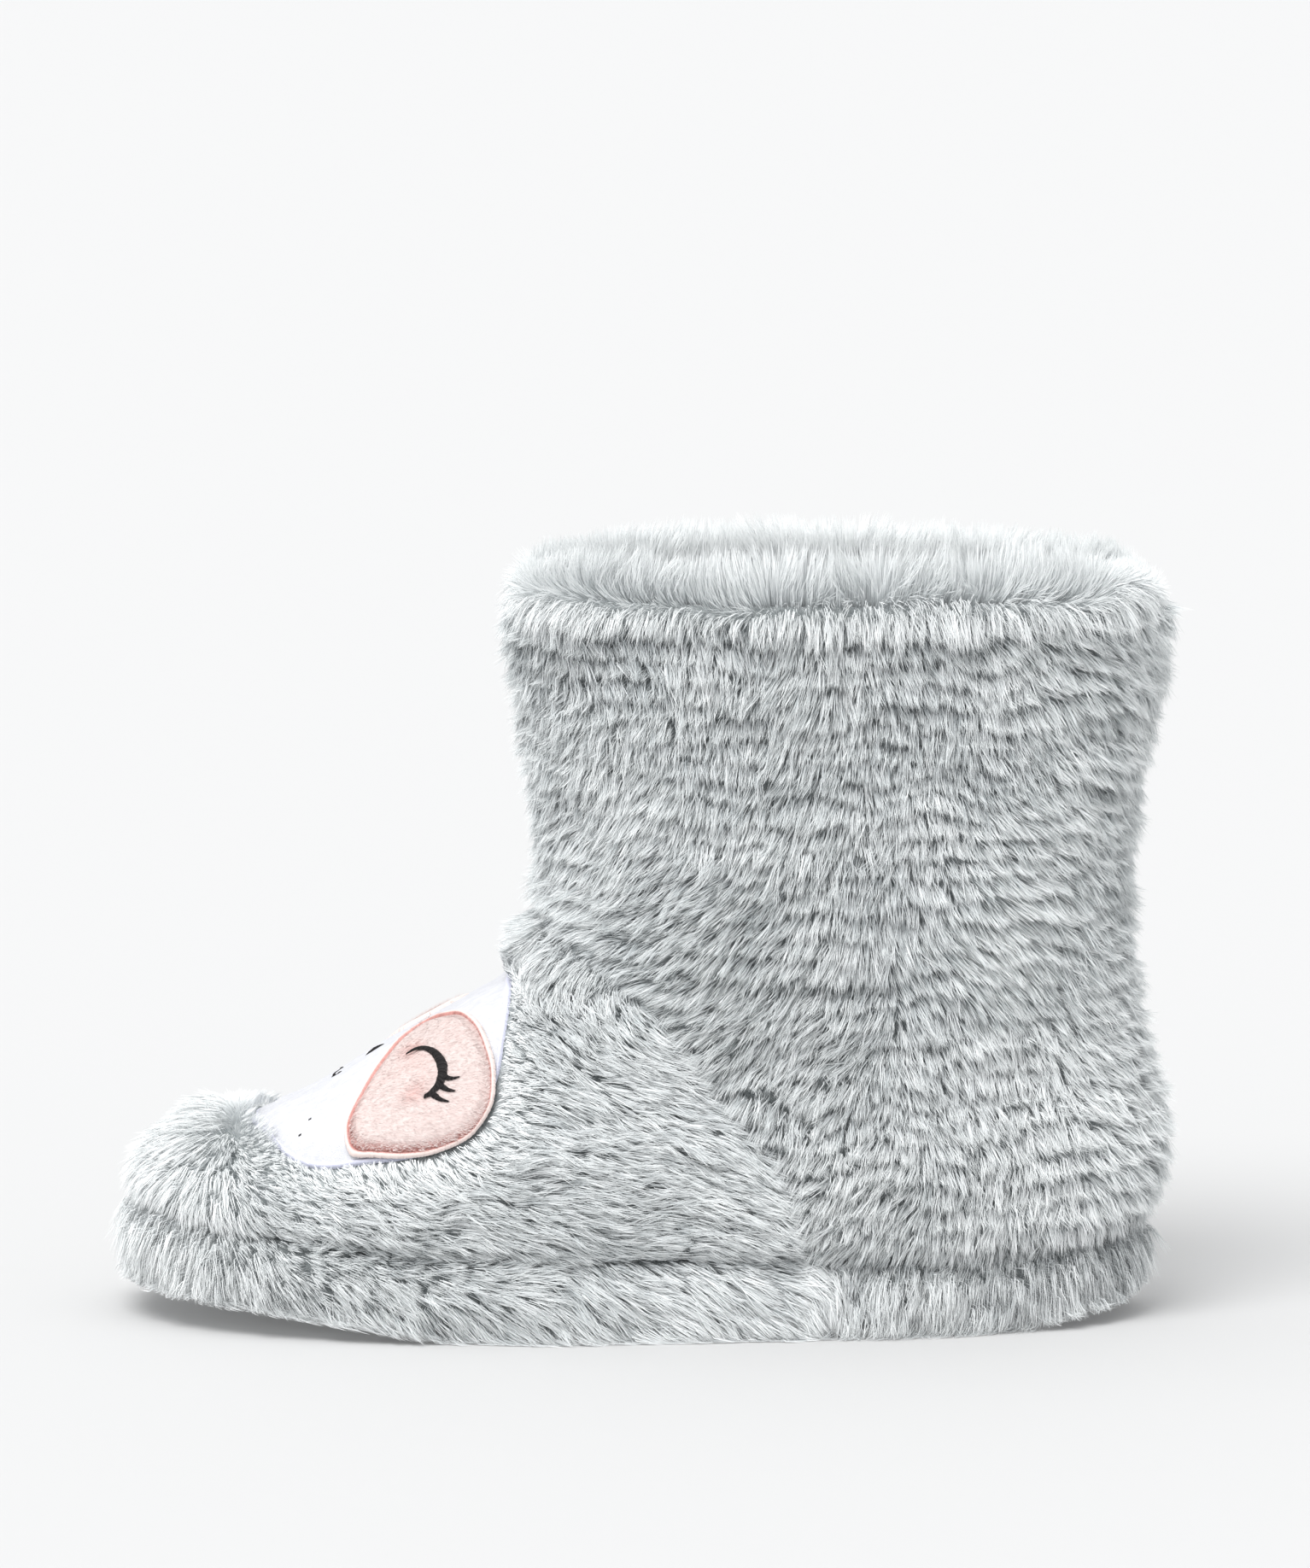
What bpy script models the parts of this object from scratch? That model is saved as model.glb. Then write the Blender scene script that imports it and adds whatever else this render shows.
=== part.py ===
"""Child's bootie slipper for a left foot, in deep faux fur, with a sleeping animal's face on the vamp.

Metres, +Z up. +X points to the toe and +Y to the outer side of the foot. The origin lies on the
floor, under the flat of the outsole.
"""
import math

import bmesh
import bpy
import numpy as np

# Lengths from heel to toe
BASE_LENGTH = 0.2050        # backing of the upper, heel to toe, where it meets the platform
HEEL_REACH = 0.1005         # origin to the heel end of that line
VAMP_LENGTH = 0.0825        # toe end of that line back to the throat
BALL_STATION = 0.70         # share of the base length from heel to ball
WAIST_STATION = 0.42
HEEL_STATION = 0.16

# Widths across the foot
BALL_WIDTH = 0.081
WAIST_WIDTH = 0.073
HEEL_WIDTH = 0.066
COLLAR_WIDTH = 0.081
OUTER_SHARE = 0.515         # share of each width that lies on the outer side
TOE_SWING = 0.004           # how far the toe end leans to the inner side

# Heights
OUTSOLE_THICKNESS = 0.003
PLATFORM_HEIGHT = 0.0142    # foam and its fur wrap, above the outsole
PLATFORM_HEEL_SHARE = 0.88  # the wrap is a little lower at the heel
TOE_SPRING = 0.0080
HEEL_SPRING = 0.0050
TREAD_FRONT = 0.045         # the flat of the sole ends here, ahead of the origin
TREAD_BACK = 0.063          # and here, behind it
ARCH_FRONT = 0.008          # the arch of the outsole starts here, ahead of the origin
ARCH_BACK = 0.032           # and ends here, behind it
ARCH_RELIEF = 0.0012        # its underside stands this far off the floor
INSTEP_RISE = 0.0535        # toe end of the base line up to the throat
HEEL_RISE = 0.066           # heel end of the base line up to the ankle
COLLAR_HEIGHT = 0.1525      # backing at the collar, above the floor

# Fullness of the heel and the flare of the leg
HEEL_BULGE = 0.0042
FRONT_FLARE = 0.0070
BACK_FLARE = 0.0080

# Cloth
WALL = 0.0035               # backing and lining of the upper
PILE = 0.0088               # fur standing on the upper
WRAP_PILE = 0.0086          # fur standing on the platform
FACING_WALL = 0.0022
FACING_PILE = 0.0060
FACING_DEPTH = 0.034        # how far the collar facing reaches down inside the shaft
INSOLE_THICKNESS = 0.0045
PANEL_THICKNESS = 0.0014
PATCH_THICKNESS = 0.0020
GAP = 0.0003                # left between pieces that touch
SEAT_GAP = 0.00045          # round a piece let into the curved vamp

# Locks of fur
LOCKS = 36                  # locks in one row round the upper
ROWS = 13                   # rows from the base line to the collar
WRAP_LOCKS = 46
FACING_ROWS = 3

# The front of the upper from toe to collar. toe: share of VAMP_LENGTH ahead of the throat;
# instep: share of INSTEP_RISE; flare: share of FRONT_FLARE; leg: share of throat to collar.
FRONT_LINE = (
    # level, toe, instep, flare, leg
    (0.00, 1.000, 0.000, 0.00, 0.00),
    (0.07, 0.983, 0.110, 0.00, 0.00),
    (0.14, 0.897, 0.235, 0.00, 0.00),
    (0.22, 0.737, 0.348, 0.00, 0.00),
    (0.30, 0.527, 0.475, 0.00, 0.00),
    (0.38, 0.317, 0.640, 0.00, 0.00),
    (0.45, 0.122, 0.820, 0.00, 0.00),
    (0.52, 0.000, 1.000, 0.00, 0.00),
    (0.60, 0.000, 1.000, -0.76, 0.15),
    (0.70, 0.000, 1.000, -0.71, 0.36),
    (0.80, 0.000, 1.000, -0.43, 0.57),
    (0.90, 0.000, 1.000, -0.10, 0.79),
    (1.00, 0.000, 1.000, 0.21, 1.00),
)

# The back of the upper from heel to collar. bulge: share of HEEL_BULGE; rise: share of HEEL_RISE;
# flare: share of BACK_FLARE; leg: share of ankle to collar.
BACK_LINE = (
    # level, bulge, rise, flare, leg
    (0.00, 0.00, 0.000, 0.00, 0.00),
    (0.07, 0.80, 0.120, 0.00, 0.00),
    (0.14, 1.00, 0.245, 0.00, 0.00),
    (0.22, 0.72, 0.380, 0.00, 0.00),
    (0.30, 0.15, 0.515, 0.00, 0.00),
    (0.38, -0.28, 0.665, 0.00, 0.00),
    (0.45, -0.60, 0.825, 0.00, 0.00),
    (0.52, -0.86, 1.000, 0.00, 0.00),
    (0.60, -0.86, 1.000, 0.02, 0.16),
    (0.70, -0.86, 1.000, 0.20, 0.36),
    (0.80, -0.86, 1.000, 0.52, 0.57),
    (0.90, -0.86, 1.000, 0.86, 0.79),
    (1.00, -0.86, 1.000, 1.00, 1.00),
)

# Sections through the upper. full: share of the width of the foot or leg; foot: how much of the
# foot's own outline the section has; front, back: roundness of its two ends, 2 is an ellipse.
SECTIONS = (
    # level, full, foot, front, back
    (0.00, 1.000, 1.00, 2.55, 2.45),
    (0.07, 1.040, 1.00, 2.60, 2.45),
    (0.14, 1.045, 1.00, 2.60, 2.40),
    (0.22, 1.020, 1.00, 2.55, 2.35),
    (0.30, 0.985, 0.95, 2.50, 2.30),
    (0.38, 0.960, 0.80, 2.45, 2.25),
    (0.45, 0.945, 0.55, 2.40, 2.20),
    (0.52, 0.935, 0.30, 2.35, 2.20),
    (0.60, 0.925, 0.00, 2.25, 2.20),
    (0.70, 0.935, 0.00, 2.20, 2.20),
    (0.80, 0.955, 0.00, 2.20, 2.20),
    (0.90, 0.980, 0.00, 2.20, 2.20),
    (1.00, 1.000, 0.00, 2.20, 2.20),
)

# Half of the face panel's outline, laid flat, from the forehead to the muzzle. along: share of
# VAMP_LENGTH ahead of the throat; across: share of BALL_WIDTH from the middle line.
FACE_OUTLINE = (
    # along, across
    (0.073, 0.000),
    (0.074, 0.148),
    (0.078, 0.260),
    (0.092, 0.383),
    (0.112, 0.490),
    (0.165, 0.580),
    (0.255, 0.595),
    (0.350, 0.578),
    (0.461, 0.525),
    (0.558, 0.463),
    (0.636, 0.383),
    (0.691, 0.265),
    (0.727, 0.136),
    (0.737, 0.000),
)

# An eye patch's outline, laid flat, going round from its narrow end at the forehead. along: share of
# VAMP_LENGTH ahead of the throat; across: share of BALL_WIDTH from the middle line.
PATCH_OUTLINE = (
    # along, across
    (0.277, 0.103),
    (0.337, 0.134),
    (0.394, 0.220),
    (0.453, 0.331),
    (0.491, 0.424),
    (0.477, 0.498),
    (0.416, 0.547),
    (0.331, 0.592),
    (0.247, 0.616),
    (0.165, 0.613),
    (0.119, 0.572),
    (0.104, 0.492),
    (0.119, 0.381),
    (0.153, 0.263),
    (0.202, 0.162),
)

# The seam between vamp and shaft, seen from the side. along: share of BASE_LENGTH from the heel;
# up: share of the height from the platform to the throat.
SEAM = (
    # along, up
    (0.325, -0.60),
    (0.327, 0.00),
    (0.340, 0.20),
    (0.358, 0.36),
    (0.407, 0.52),
    (0.453, 0.75),
    (0.479, 0.855),
    (0.543, 1.03),
    (0.597, 1.15),
    (0.720, 1.40),
)

# Rows of locks round the platform, from the floor up. tip_out, under_out: shares of WRAP_PILE;
# tip_down, under_down: shares of PLATFORM_HEIGHT below its top.
WRAP_ROWS = (
    # tip_out, tip_down, under_out, under_down
    (0.95, 1.10, 0.45, 0.92),
    (0.90, 0.66, 0.50, 0.50),
)

# How the fur lies on the upper, seen from the side. along: share of BASE_LENGTH from the heel;
# foot, leg: lean towards the toe, in degrees from straight down, low on the foot and on the leg.
LIE = (
    # along, foot, leg
    (-0.05, 12.0, 8.0),
    (0.15, 28.0, 22.0),
    (0.35, 20.0, 20.0),
    (0.50, -48.0, 4.0),
    (0.65, -50.0, -14.0),
    (0.80, -10.0, -14.0),
    (1.05, 25.0, -10.0),
)

COLOURS = {
    # name: (red, green, blue, roughness)
    "grey fur": (0.50, 0.54, 0.55, 0.95),
    "white plush": (0.90, 0.91, 0.93, 0.85),
    "pink plush": (0.86, 0.66, 0.63, 0.85),
    "footbed cloth": (0.62, 0.65, 0.66, 0.95),
    "soft sole": (0.78, 0.79, 0.79, 0.80),
}


def clear_scene():
    for obj in list(bpy.data.objects):
        bpy.data.objects.remove(obj, do_unlink=True)


def smooth_curve(at, knots, values):
    """A smooth curve through the knots, read at the given places."""
    knots = np.asarray(knots, float)
    values = np.asarray(values, float)
    slopes = np.gradient(values, knots)
    at = np.clip(np.asarray(at, float), knots[0], knots[-1])
    index = np.clip(np.searchsorted(knots, at, side="right") - 1, 0, len(knots) - 2)
    span = knots[index + 1] - knots[index]
    t = (at - knots[index]) / span
    rise = values[index + 1] - values[index]
    start = slopes[index] * span
    end = slopes[index + 1] * span
    bend = 3 * rise - 2 * start - end
    turn = start + end - 2 * rise
    return values[index] + t * start + t * t * bend + t ** 3 * turn


def column(table, number, at):
    rows = np.array(table)
    return smooth_curve(at, rows[:, 0], rows[:, number])


# Sole and platform lines, all seen from the side
def sole_underside(x):
    toe = np.clip((x - TREAD_FRONT) / (BASE_LENGTH - HEEL_REACH - TREAD_FRONT), 0, None)
    heel = np.clip((-x - TREAD_BACK) / (HEEL_REACH - TREAD_BACK), 0, None)
    return TOE_SPRING * toe ** 1.25 + HEEL_SPRING * heel ** 1.6


def arch(x):
    share = np.clip((x + ARCH_BACK) / (ARCH_FRONT + ARCH_BACK), 0, 1)
    return ARCH_RELIEF * np.sin(math.pi * share) ** 2


def platform_top(x):
    heel_share = np.clip((BASE_LENGTH * WAIST_STATION - HEEL_REACH - x) / (BASE_LENGTH * WAIST_STATION), 0, 1)
    height = PLATFORM_HEIGHT * (1 - (1 - PLATFORM_HEEL_SHARE) * heel_share)
    return sole_underside(x) + OUTSOLE_THICKNESS + GAP + height


def foot_width(x):
    """Width of the foot's outline before its ends are rounded."""
    stations = (0.0, HEEL_STATION, WAIST_STATION, BALL_STATION, 1.0)
    widths = (HEEL_WIDTH, HEEL_WIDTH, WAIST_WIDTH, BALL_WIDTH, BALL_WIDTH * 1.03)
    return smooth_curve((x + HEEL_REACH) / BASE_LENGTH, stations, widths)


def middle_line(x):
    """The left foot's middle line swings to the inner side ahead of the waist."""
    ahead = np.clip((x + HEEL_REACH) / BASE_LENGTH - WAIST_STATION, 0, None) / (1 - WAIST_STATION)
    return -TOE_SWING * ahead ** 2


# The upper's own surface: sections from the base line to the collar
HALF_STEPS = 90
LEVELS = 121


def section(level):
    """One closed section: from the front by the outer side to the back, then by the inner side."""
    toe_end = BASE_LENGTH - HEEL_REACH
    throat = toe_end - VAMP_LENGTH
    base_front = platform_top(toe_end) + GAP
    base_back = platform_top(-HEEL_REACH) + GAP
    throat_height = base_front + INSTEP_RISE
    ankle_height = base_back + HEEL_RISE
    toe, instep, front_flare, front_leg = [column(FRONT_LINE, k, level) for k in (1, 2, 3, 4)]
    bulge, rise, back_flare, back_leg = [column(BACK_LINE, k, level) for k in (1, 2, 3, 4)]
    front_x = throat + VAMP_LENGTH * toe + FRONT_FLARE * front_flare
    front_z = base_front + INSTEP_RISE * instep + front_leg * (COLLAR_HEIGHT - throat_height)
    back_x = -HEEL_REACH - HEEL_BULGE * bulge - BACK_FLARE * back_flare
    back_z = base_back + HEEL_RISE * rise + back_leg * (COLLAR_HEIGHT - ankle_height)
    full = column(SECTIONS, 1, level)
    foot = column(SECTIONS, 2, level)
    turn = np.linspace(0, math.pi, HALF_STEPS + 1)
    ends = np.where(np.cos(turn) >= 0, 2 / column(SECTIONS, 3, level), 2 / column(SECTIONS, 4, level))
    along = np.sign(np.cos(turn)) * np.abs(np.cos(turn)) ** ends
    across = np.abs(np.sin(turn)) ** ends
    across[0] = 0
    across[-1] = 0
    x = (front_x + back_x) / 2 + along * (front_x - back_x) / 2
    width = full * (foot * foot_width(x) + (1 - foot) * COLLAR_WIDTH)
    share = (x - back_x) / (front_x - back_x)
    base_share = (x + HEEL_REACH) / BASE_LENGTH
    sag = platform_top(x) + GAP - (base_back + (base_front - base_back) * base_share)
    z = back_z + (front_z - back_z) * share + sag * np.clip(1 - level / 0.30, 0, 1) ** 1.5
    halves = []
    for side_share in (OUTER_SHARE, OUTER_SHARE - 1):
        y = middle_line(x) + side_share * across * width
        curve = np.stack([x, y, z], axis=1)
        length = np.concatenate([[0], np.cumsum(np.linalg.norm(np.diff(curve, axis=0), axis=1))])
        even = np.linspace(0, length[-1], HALF_STEPS + 1)
        halves.append(np.stack([np.interp(even, length, curve[:, k]) for k in range(3)], axis=1))
    return np.concatenate([halves[0], halves[1][-2:0:-1]])


class Skin:
    """The backing's outer face. A place on it is (turn, level): turn 0 is the front, 0.25 the outer
    side, 0.5 the back; level 0 is the base line and 1 the collar."""

    def __init__(self):
        self.levels = np.linspace(0, 1, LEVELS)
        self.points = np.stack([section(level) for level in self.levels])
        around = np.roll(self.points, -1, axis=1) - np.roll(self.points, 1, axis=1)
        up = np.gradient(self.points, axis=0)
        out = np.cross(around, up)
        self.out = out / np.linalg.norm(out, axis=2, keepdims=True)
        self.around = around / np.linalg.norm(around, axis=2, keepdims=True)
        down = -up
        self.down = down / np.linalg.norm(down, axis=2, keepdims=True)

    def read(self, grid, turn, level):
        count = grid.shape[1]
        column_at = (np.asarray(turn, float) % 1.0) * count
        row_at = np.clip(np.asarray(level, float), 0, 1) * (LEVELS - 1)
        row = np.minimum(row_at.astype(int), LEVELS - 2)
        col = column_at.astype(int) % count
        after = (col + 1) % count
        right = (column_at - np.floor(column_at))[..., None]
        above = (row_at - row)[..., None]
        low = grid[row, col] * (1 - right) + grid[row, after] * right
        high = grid[row + 1, col] * (1 - right) + grid[row + 1, after] * right
        return low * (1 - above) + high * above

    def place(self, turn, level, lift):
        turn, level, lift = np.broadcast_arrays(turn, level, lift)
        return self.read(self.points, turn, level) + self.read(self.out, turn, level) * lift[..., None]

    def slice(self, x, side):
        """The cross-section at x on one side, from the ridge down: distance from the ridge, turn
        and level."""
        half = self.points.shape[1] // 2
        steps = np.arange(0, half + 1)
        columns = steps if side > 0 else (-steps) % self.points.shape[1]
        rows = self.points[:, columns, :]
        reach = rows[:, 0, 0]
        crossing = [k for k in range(LEVELS) if reach[k] > x and self.levels[k] < 0.52]
        ridge_level = np.interp(-x, -reach[:int(0.52 * LEVELS)], self.levels[:int(0.52 * LEVELS)])
        turns = [0.0]
        levels = [float(ridge_level)]
        for k in reversed(crossing):
            place = np.interp(-x, -rows[k, :, 0], steps)
            turns.append(side * place / self.points.shape[1])
            levels.append(self.levels[k])
        points = self.read(self.points, np.array(turns), np.array(levels))
        run = np.concatenate([[0], np.cumsum(np.linalg.norm(np.diff(points, axis=0), axis=1))])
        return run, np.array(turns), np.array(levels)

    def on_vamp(self, x, across, lift):
        """Points of the vamp at stations x, a distance across from the middle line, lifted."""
        made = []
        for station, distance in zip(np.ravel(x), np.ravel(across)):
            side = 1 if distance >= 0 else -1
            run, turns, levels = self.slice(station, side)
            turn = np.interp(abs(distance), run, turns)
            level = np.interp(abs(distance), run, levels)
            made.append(self.place(turn, level, lift))
        return np.array(made)


def material(name):
    red, green, blue, roughness = COLOURS[name]
    made = bpy.data.materials.new(name)
    made.use_nodes = True
    shader = made.node_tree.nodes["Principled BSDF"]
    shader.inputs["Base Color"].default_value = (red, green, blue, 1)
    shader.inputs["Roughness"].default_value = roughness
    shader.inputs["Metallic"].default_value = 0
    return made


def add_object(name, points, faces, finish):
    mesh = bpy.data.meshes.new(name)
    mesh.from_pydata([tuple(map(float, point)) for point in points], [], faces)
    work = bmesh.new()
    work.from_mesh(mesh)
    bmesh.ops.triangulate(work, faces=work.faces, quad_method="SHORT_EDGE")
    bmesh.ops.recalc_face_normals(work, faces=work.faces)
    work.to_mesh(mesh)
    work.free()
    mesh.shade_smooth()
    mesh.set_sharp_from_angle(angle=math.radians(50))
    obj = bpy.data.objects.new(name, mesh)
    bpy.context.scene.collection.objects.link(obj)
    if finish:
        obj.data.materials.append(material(finish))
    return obj


def add_cutter(name, points, faces):
    cutter = add_object(name, points, faces, None)
    cutter.hide_render = True
    cutter.display_type = "WIRE"
    return cutter


def cut(obj, cutter, operation):
    made = obj.modifiers.new(cutter.name, "BOOLEAN")
    made.operation = operation
    made.solver = "EXACT"
    made.object = cutter


def band_faces(first, second, first_count, second_count):
    """Faces between two rings that start at the given numbers; one may have half as many points."""
    faces = []
    if first_count == second_count:
        for k in range(first_count):
            n = (k + 1) % first_count
            faces.append((first + k, first + n, second + n, second + k))
        return faces
    fine, coarse = (first, second) if first_count > second_count else (second, first)
    count = max(first_count, second_count)
    for k in range(0, count, 2):
        mid = (k + 1) % count
        after = (k + 2) % count
        near = k // 2
        far = (near + 1) % (count // 2)
        faces.append((fine + k, fine + mid, coarse + near))
        faces.append((fine + mid, coarse + far, coarse + near))
        faces.append((fine + mid, fine + after, coarse + far))
    return faces


def stack_rings(rings):
    """Points and faces of a tube that closes on itself through the listed rings."""
    points = np.concatenate(rings)
    starts = np.concatenate([[0], np.cumsum([len(ring) for ring in rings])[:-1]])
    faces = []
    for k in range(len(rings)):
        n = (k + 1) % len(rings)
        faces += band_faces(int(starts[k]), int(starts[n]), len(rings[k]), len(rings[n]))
    return points, faces


def moved_outline(outline, grow):
    """A closed flat outline moved out by grow, square to itself."""
    around = np.roll(outline, -1, axis=0) - np.roll(outline, 1, axis=0)
    out = np.stack([around[:, 1], -around[:, 0]], axis=1)
    out /= np.linalg.norm(out, axis=1, keepdims=True)
    out *= np.sign(((outline - outline.mean(axis=0)) * out).sum(axis=1).mean())
    return outline + out * grow


def flat_distance(points, outline):
    """Distance of flat points from a closed outline, less than 0 inside it."""
    points = np.asarray(points, float)
    start = outline
    end = np.roll(outline, -1, axis=0)
    edge = end - start
    apart = points[:, None, :] - start[None]
    share = np.clip((apart * edge).sum(2) / (edge ** 2).sum(1), 0, 1)
    distance = np.linalg.norm(apart - share[..., None] * edge, axis=2).min(1)
    crosses = (start[None, :, 1] > points[:, None, 1]) != (end[None, :, 1] > points[:, None, 1])
    rise = np.where(edge[:, 1] == 0, 1, edge[:, 1])
    hit = points[:, None, 0] < start[None, :, 0] + apart[..., 1] * edge[:, 0] / rise
    inside = (crosses & hit).sum(1) % 2 == 1
    return np.where(inside, -distance, distance)


# The face, laid flat: x along the vamp, and the distance across from its middle line
def throat_x():
    return BASE_LENGTH - HEEL_REACH - VAMP_LENGTH


def face_edge(count):
    rows = np.array(FACE_OUTLINE)
    run = np.concatenate([[0], np.cumsum(np.hypot(*np.diff(rows, axis=0).T))])
    at = np.linspace(0, run[-1], count)
    along = throat_x() + VAMP_LENGTH * smooth_curve(at, run, rows[:, 0])
    across = BALL_WIDTH * np.clip(smooth_curve(at, run, rows[:, 1]), 0, None)
    return along, across


def patch_edge(side, count, grow=0.0):
    """An eye patch's outline, going round; grow moves it out."""
    rows = np.array(PATCH_OUTLINE)
    wrapped = np.concatenate([rows[-3:], rows, rows[:4]])
    run = np.concatenate([[0], np.cumsum(np.hypot(*np.diff(wrapped, axis=0).T))])
    at = np.linspace(run[3], run[3 + len(rows)], count, endpoint=False)
    along = throat_x() + VAMP_LENGTH * smooth_curve(at, run, wrapped[:, 0])
    across = BALL_WIDTH * smooth_curve(at, run, wrapped[:, 1])
    return moved_outline(np.stack([along, side * across], axis=1), grow)


def closed_sheet(low, high, rim):
    """A solid between two like grids of points: low and high hold (points, faces), rim the numbers
    of the points round the edge."""
    count = len(low[0])
    points = np.concatenate([low[0], high[0]])
    faces = [tuple(face) for face in low[1]]
    faces += [tuple(count + k for k in face) for face in high[1]]
    for k, n in zip(rim, rim[1:] + rim[:1]):
        faces.append((k, n, count + n, count + k))
    return points, faces


def face_grid(skin, lift, grow, rungs=12, steps=10):
    """The face panel's area as rungs across the vamp, lifted off the skin."""
    along, across = face_edge(rungs + 2)
    middle = np.linspace(along[0] - grow, along[-1] + grow, rungs + 2)
    share = np.linspace(-1, 1, steps + 1)
    flat = [(middle[0], 0.0)]
    for k in range(1, rungs + 1):
        out = across[k] + grow
        reach = along[k] + grow * (2 * k / (rungs + 1) - 1)
        flat += [(middle[k] + (reach - middle[k]) * s * s, out * s) for s in share]
    flat.append((middle[-1], 0.0))
    flat = np.array(flat)
    faces = []
    row = steps + 1
    for s in range(steps):
        faces.append((0, 1 + s, 2 + s))
        last = 1 + (rungs - 1) * row
        faces.append((last + s, len(flat) - 1, last + s + 1))
    for k in range(rungs - 1):
        for s in range(steps):
            first = 1 + k * row + s
            faces.append((first, first + row, first + row + 1, first + 1))
    left = [1 + k * row for k in range(rungs)]
    right = [1 + k * row + steps for k in range(rungs)]
    rim = [0] + left + [len(flat) - 1] + right[::-1]
    return (skin.on_vamp(flat[:, 0], flat[:, 1], lift), faces), rim


def patch_grid(skin, side, lift, grow, count=24):
    """An eye patch's area as rings about its middle, lifted off the skin."""
    edge = patch_edge(side, count, grow)
    middle = edge.mean(axis=0)
    flat = np.concatenate([[middle]] + [middle + (edge - middle) * share for share in (0.45, 0.8, 1.0)])
    faces = [(0, 1 + k, 1 + (k + 1) % count) for k in range(count)]
    for ring in range(2):
        start = 1 + ring * count
        for k in range(count):
            n = (k + 1) % count
            faces.append((start + k, start + count + k, start + count + n, start + n))
    rim = [1 + 2 * count + k for k in range(count)]
    return (skin.on_vamp(flat[:, 0], flat[:, 1], lift), faces), rim


def bare_share(skin, turn, level):
    """1 where fur stands at its full height, falling to 0 on the face."""
    points = skin.read(skin.points, turn, level)
    along, across = face_edge(24)
    half = np.stack([along, across], axis=1)
    outline = np.concatenate([half, half[-2:0:-1] * (1, -1)])
    patches = [patch_edge(side, 24) for side in (1, -1)]
    share = np.ones(len(points))
    for k, point in enumerate(points):
        if level[k] > 0.52 or point[0] < throat_x() - 0.002 or point[0] > throat_x() + VAMP_LENGTH * 0.98:
            continue
        side = 1 if (turn[k] % 1.0) < 0.5 else -1
        run, _, levels = skin.slice(point[0], side)
        across_here = side * np.interp(-level[k], -levels, run)
        flat = [(point[0], across_here)]
        nearest = min(flat_distance(flat, shape)[0] for shape in [outline] + patches)
        share[k] = np.clip(nearest / (0.6 * PILE), 0, 1)
    return share


def lie_of_fur(points, level):
    """Lean of the fur towards the toe, in radians, at points of the skin."""
    along = (points[:, 0] + HEEL_REACH) / BASE_LENGTH
    foot = column(LIE, 1, along)
    leg = column(LIE, 2, along)
    share = np.clip((level - 0.25) / 0.30, 0, 1)
    return np.radians(foot * (1 - share) + leg * share)


def lock_point(skin, turn, level, lift, reach):
    """A point of a lock: lifted off the skin and drawn along the lie of the fur."""
    base = skin.read(skin.points, turn, level)
    lean = lie_of_fur(base, level)
    around = skin.read(skin.around, turn, level)
    forward = np.where(around[:, :1] >= 0, around, -around)
    towards_toe = np.abs(around[:, 0])
    drawn = skin.read(skin.down, turn, level) * np.cos(lean)[:, None]
    drawn += forward * (np.sin(lean) * towards_toe)[:, None]
    return base + skin.read(skin.out, turn, level) * lift[:, None] + drawn * reach[:, None]


def upper_solid(skin):
    """Vamp and shaft in one, before the seam parts them: smooth inside, rows of locks outside."""
    rng = np.random.default_rng(11)
    count = 2 * LOCKS
    turn = np.arange(count) / count
    step = 1 / ROWS
    rings = []
    base = skin.place(turn, np.zeros(count), np.full(count, 0.42 * PILE))
    base[:, 2] = platform_top(base[:, 0]) + GAP
    rings.append(base)
    for row in range(ROWS):
        centre = (np.arange(count) + row) % 2 == 0
        level = np.full(count, (row + 0.55) * step)
        height = PILE * bare_share(skin, turn, level)
        wild = rng.uniform(0.86, 1.0, count)
        tip = np.where(centre, height * wild, 0.58 * height)
        low = 0.15 if row == 0 else 1.0
        reach = np.where(centre, 0.52 * PILE, -0.10 * PILE) * low * wild
        rings.append(lock_point(skin, turn, level, tip, reach))
        if row < ROWS - 1:
            under = np.where(centre, 0.45 * height, 0.36 * height)
            back = np.where(centre, -0.12 * PILE, -0.42 * PILE)
            rings.append(lock_point(skin, turn, level, under, back))
    tuft = np.arange(count) % 2 == 0
    rim = skin.place(turn, np.ones(count), PILE * np.where(tuft, 0.78, 0.50))
    rim[:, 2] += PILE * np.where(tuft, 0.40, 0.30) * rng.uniform(0.8, 1.2, count)
    rings.append(rim)
    crest = skin.place(turn, np.ones(count), np.full(count, 0.12 * PILE))
    crest[:, 2] += PILE * np.where(tuft, 1.0, 0.80) * rng.uniform(0.90, 1.02, count)
    rings.append(crest)
    inner_turn = np.arange(LOCKS) / LOCKS
    top = skin.place(inner_turn, np.ones(LOCKS), np.full(LOCKS, -WALL))
    top[:, 2] += 0.5 * PILE
    rings.append(top)
    for level in (1.0, 0.88, 0.76, 0.66, 0.58, 0.51, 0.44, 0.37, 0.30, 0.23, 0.16, 0.10, 0.05):
        rings.append(skin.place(inner_turn, np.full(LOCKS, level), np.full(LOCKS, -WALL)))
    foot = skin.place(inner_turn, np.zeros(LOCKS), np.full(LOCKS, -WALL))
    foot[:, 2] = platform_top(foot[:, 0]) + GAP
    rings.append(foot)
    return stack_rings(rings)


def seam_side(shift):
    """The seam line seen from the side, moved towards the toe."""
    rows = np.array(SEAM)
    run = np.concatenate([[0], np.cumsum(np.hypot(*np.diff(rows, axis=0).T))])
    at = np.linspace(0, run[-1], 22)
    low = platform_top(0.0)
    throat_rise = platform_top(throat_x() + VAMP_LENGTH) + INSTEP_RISE - low
    x = -HEEL_REACH + BASE_LENGTH * smooth_curve(at, run, rows[:, 0])
    z = low + throat_rise * smooth_curve(at, run, rows[:, 1])
    return x + shift, z - shift


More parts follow.
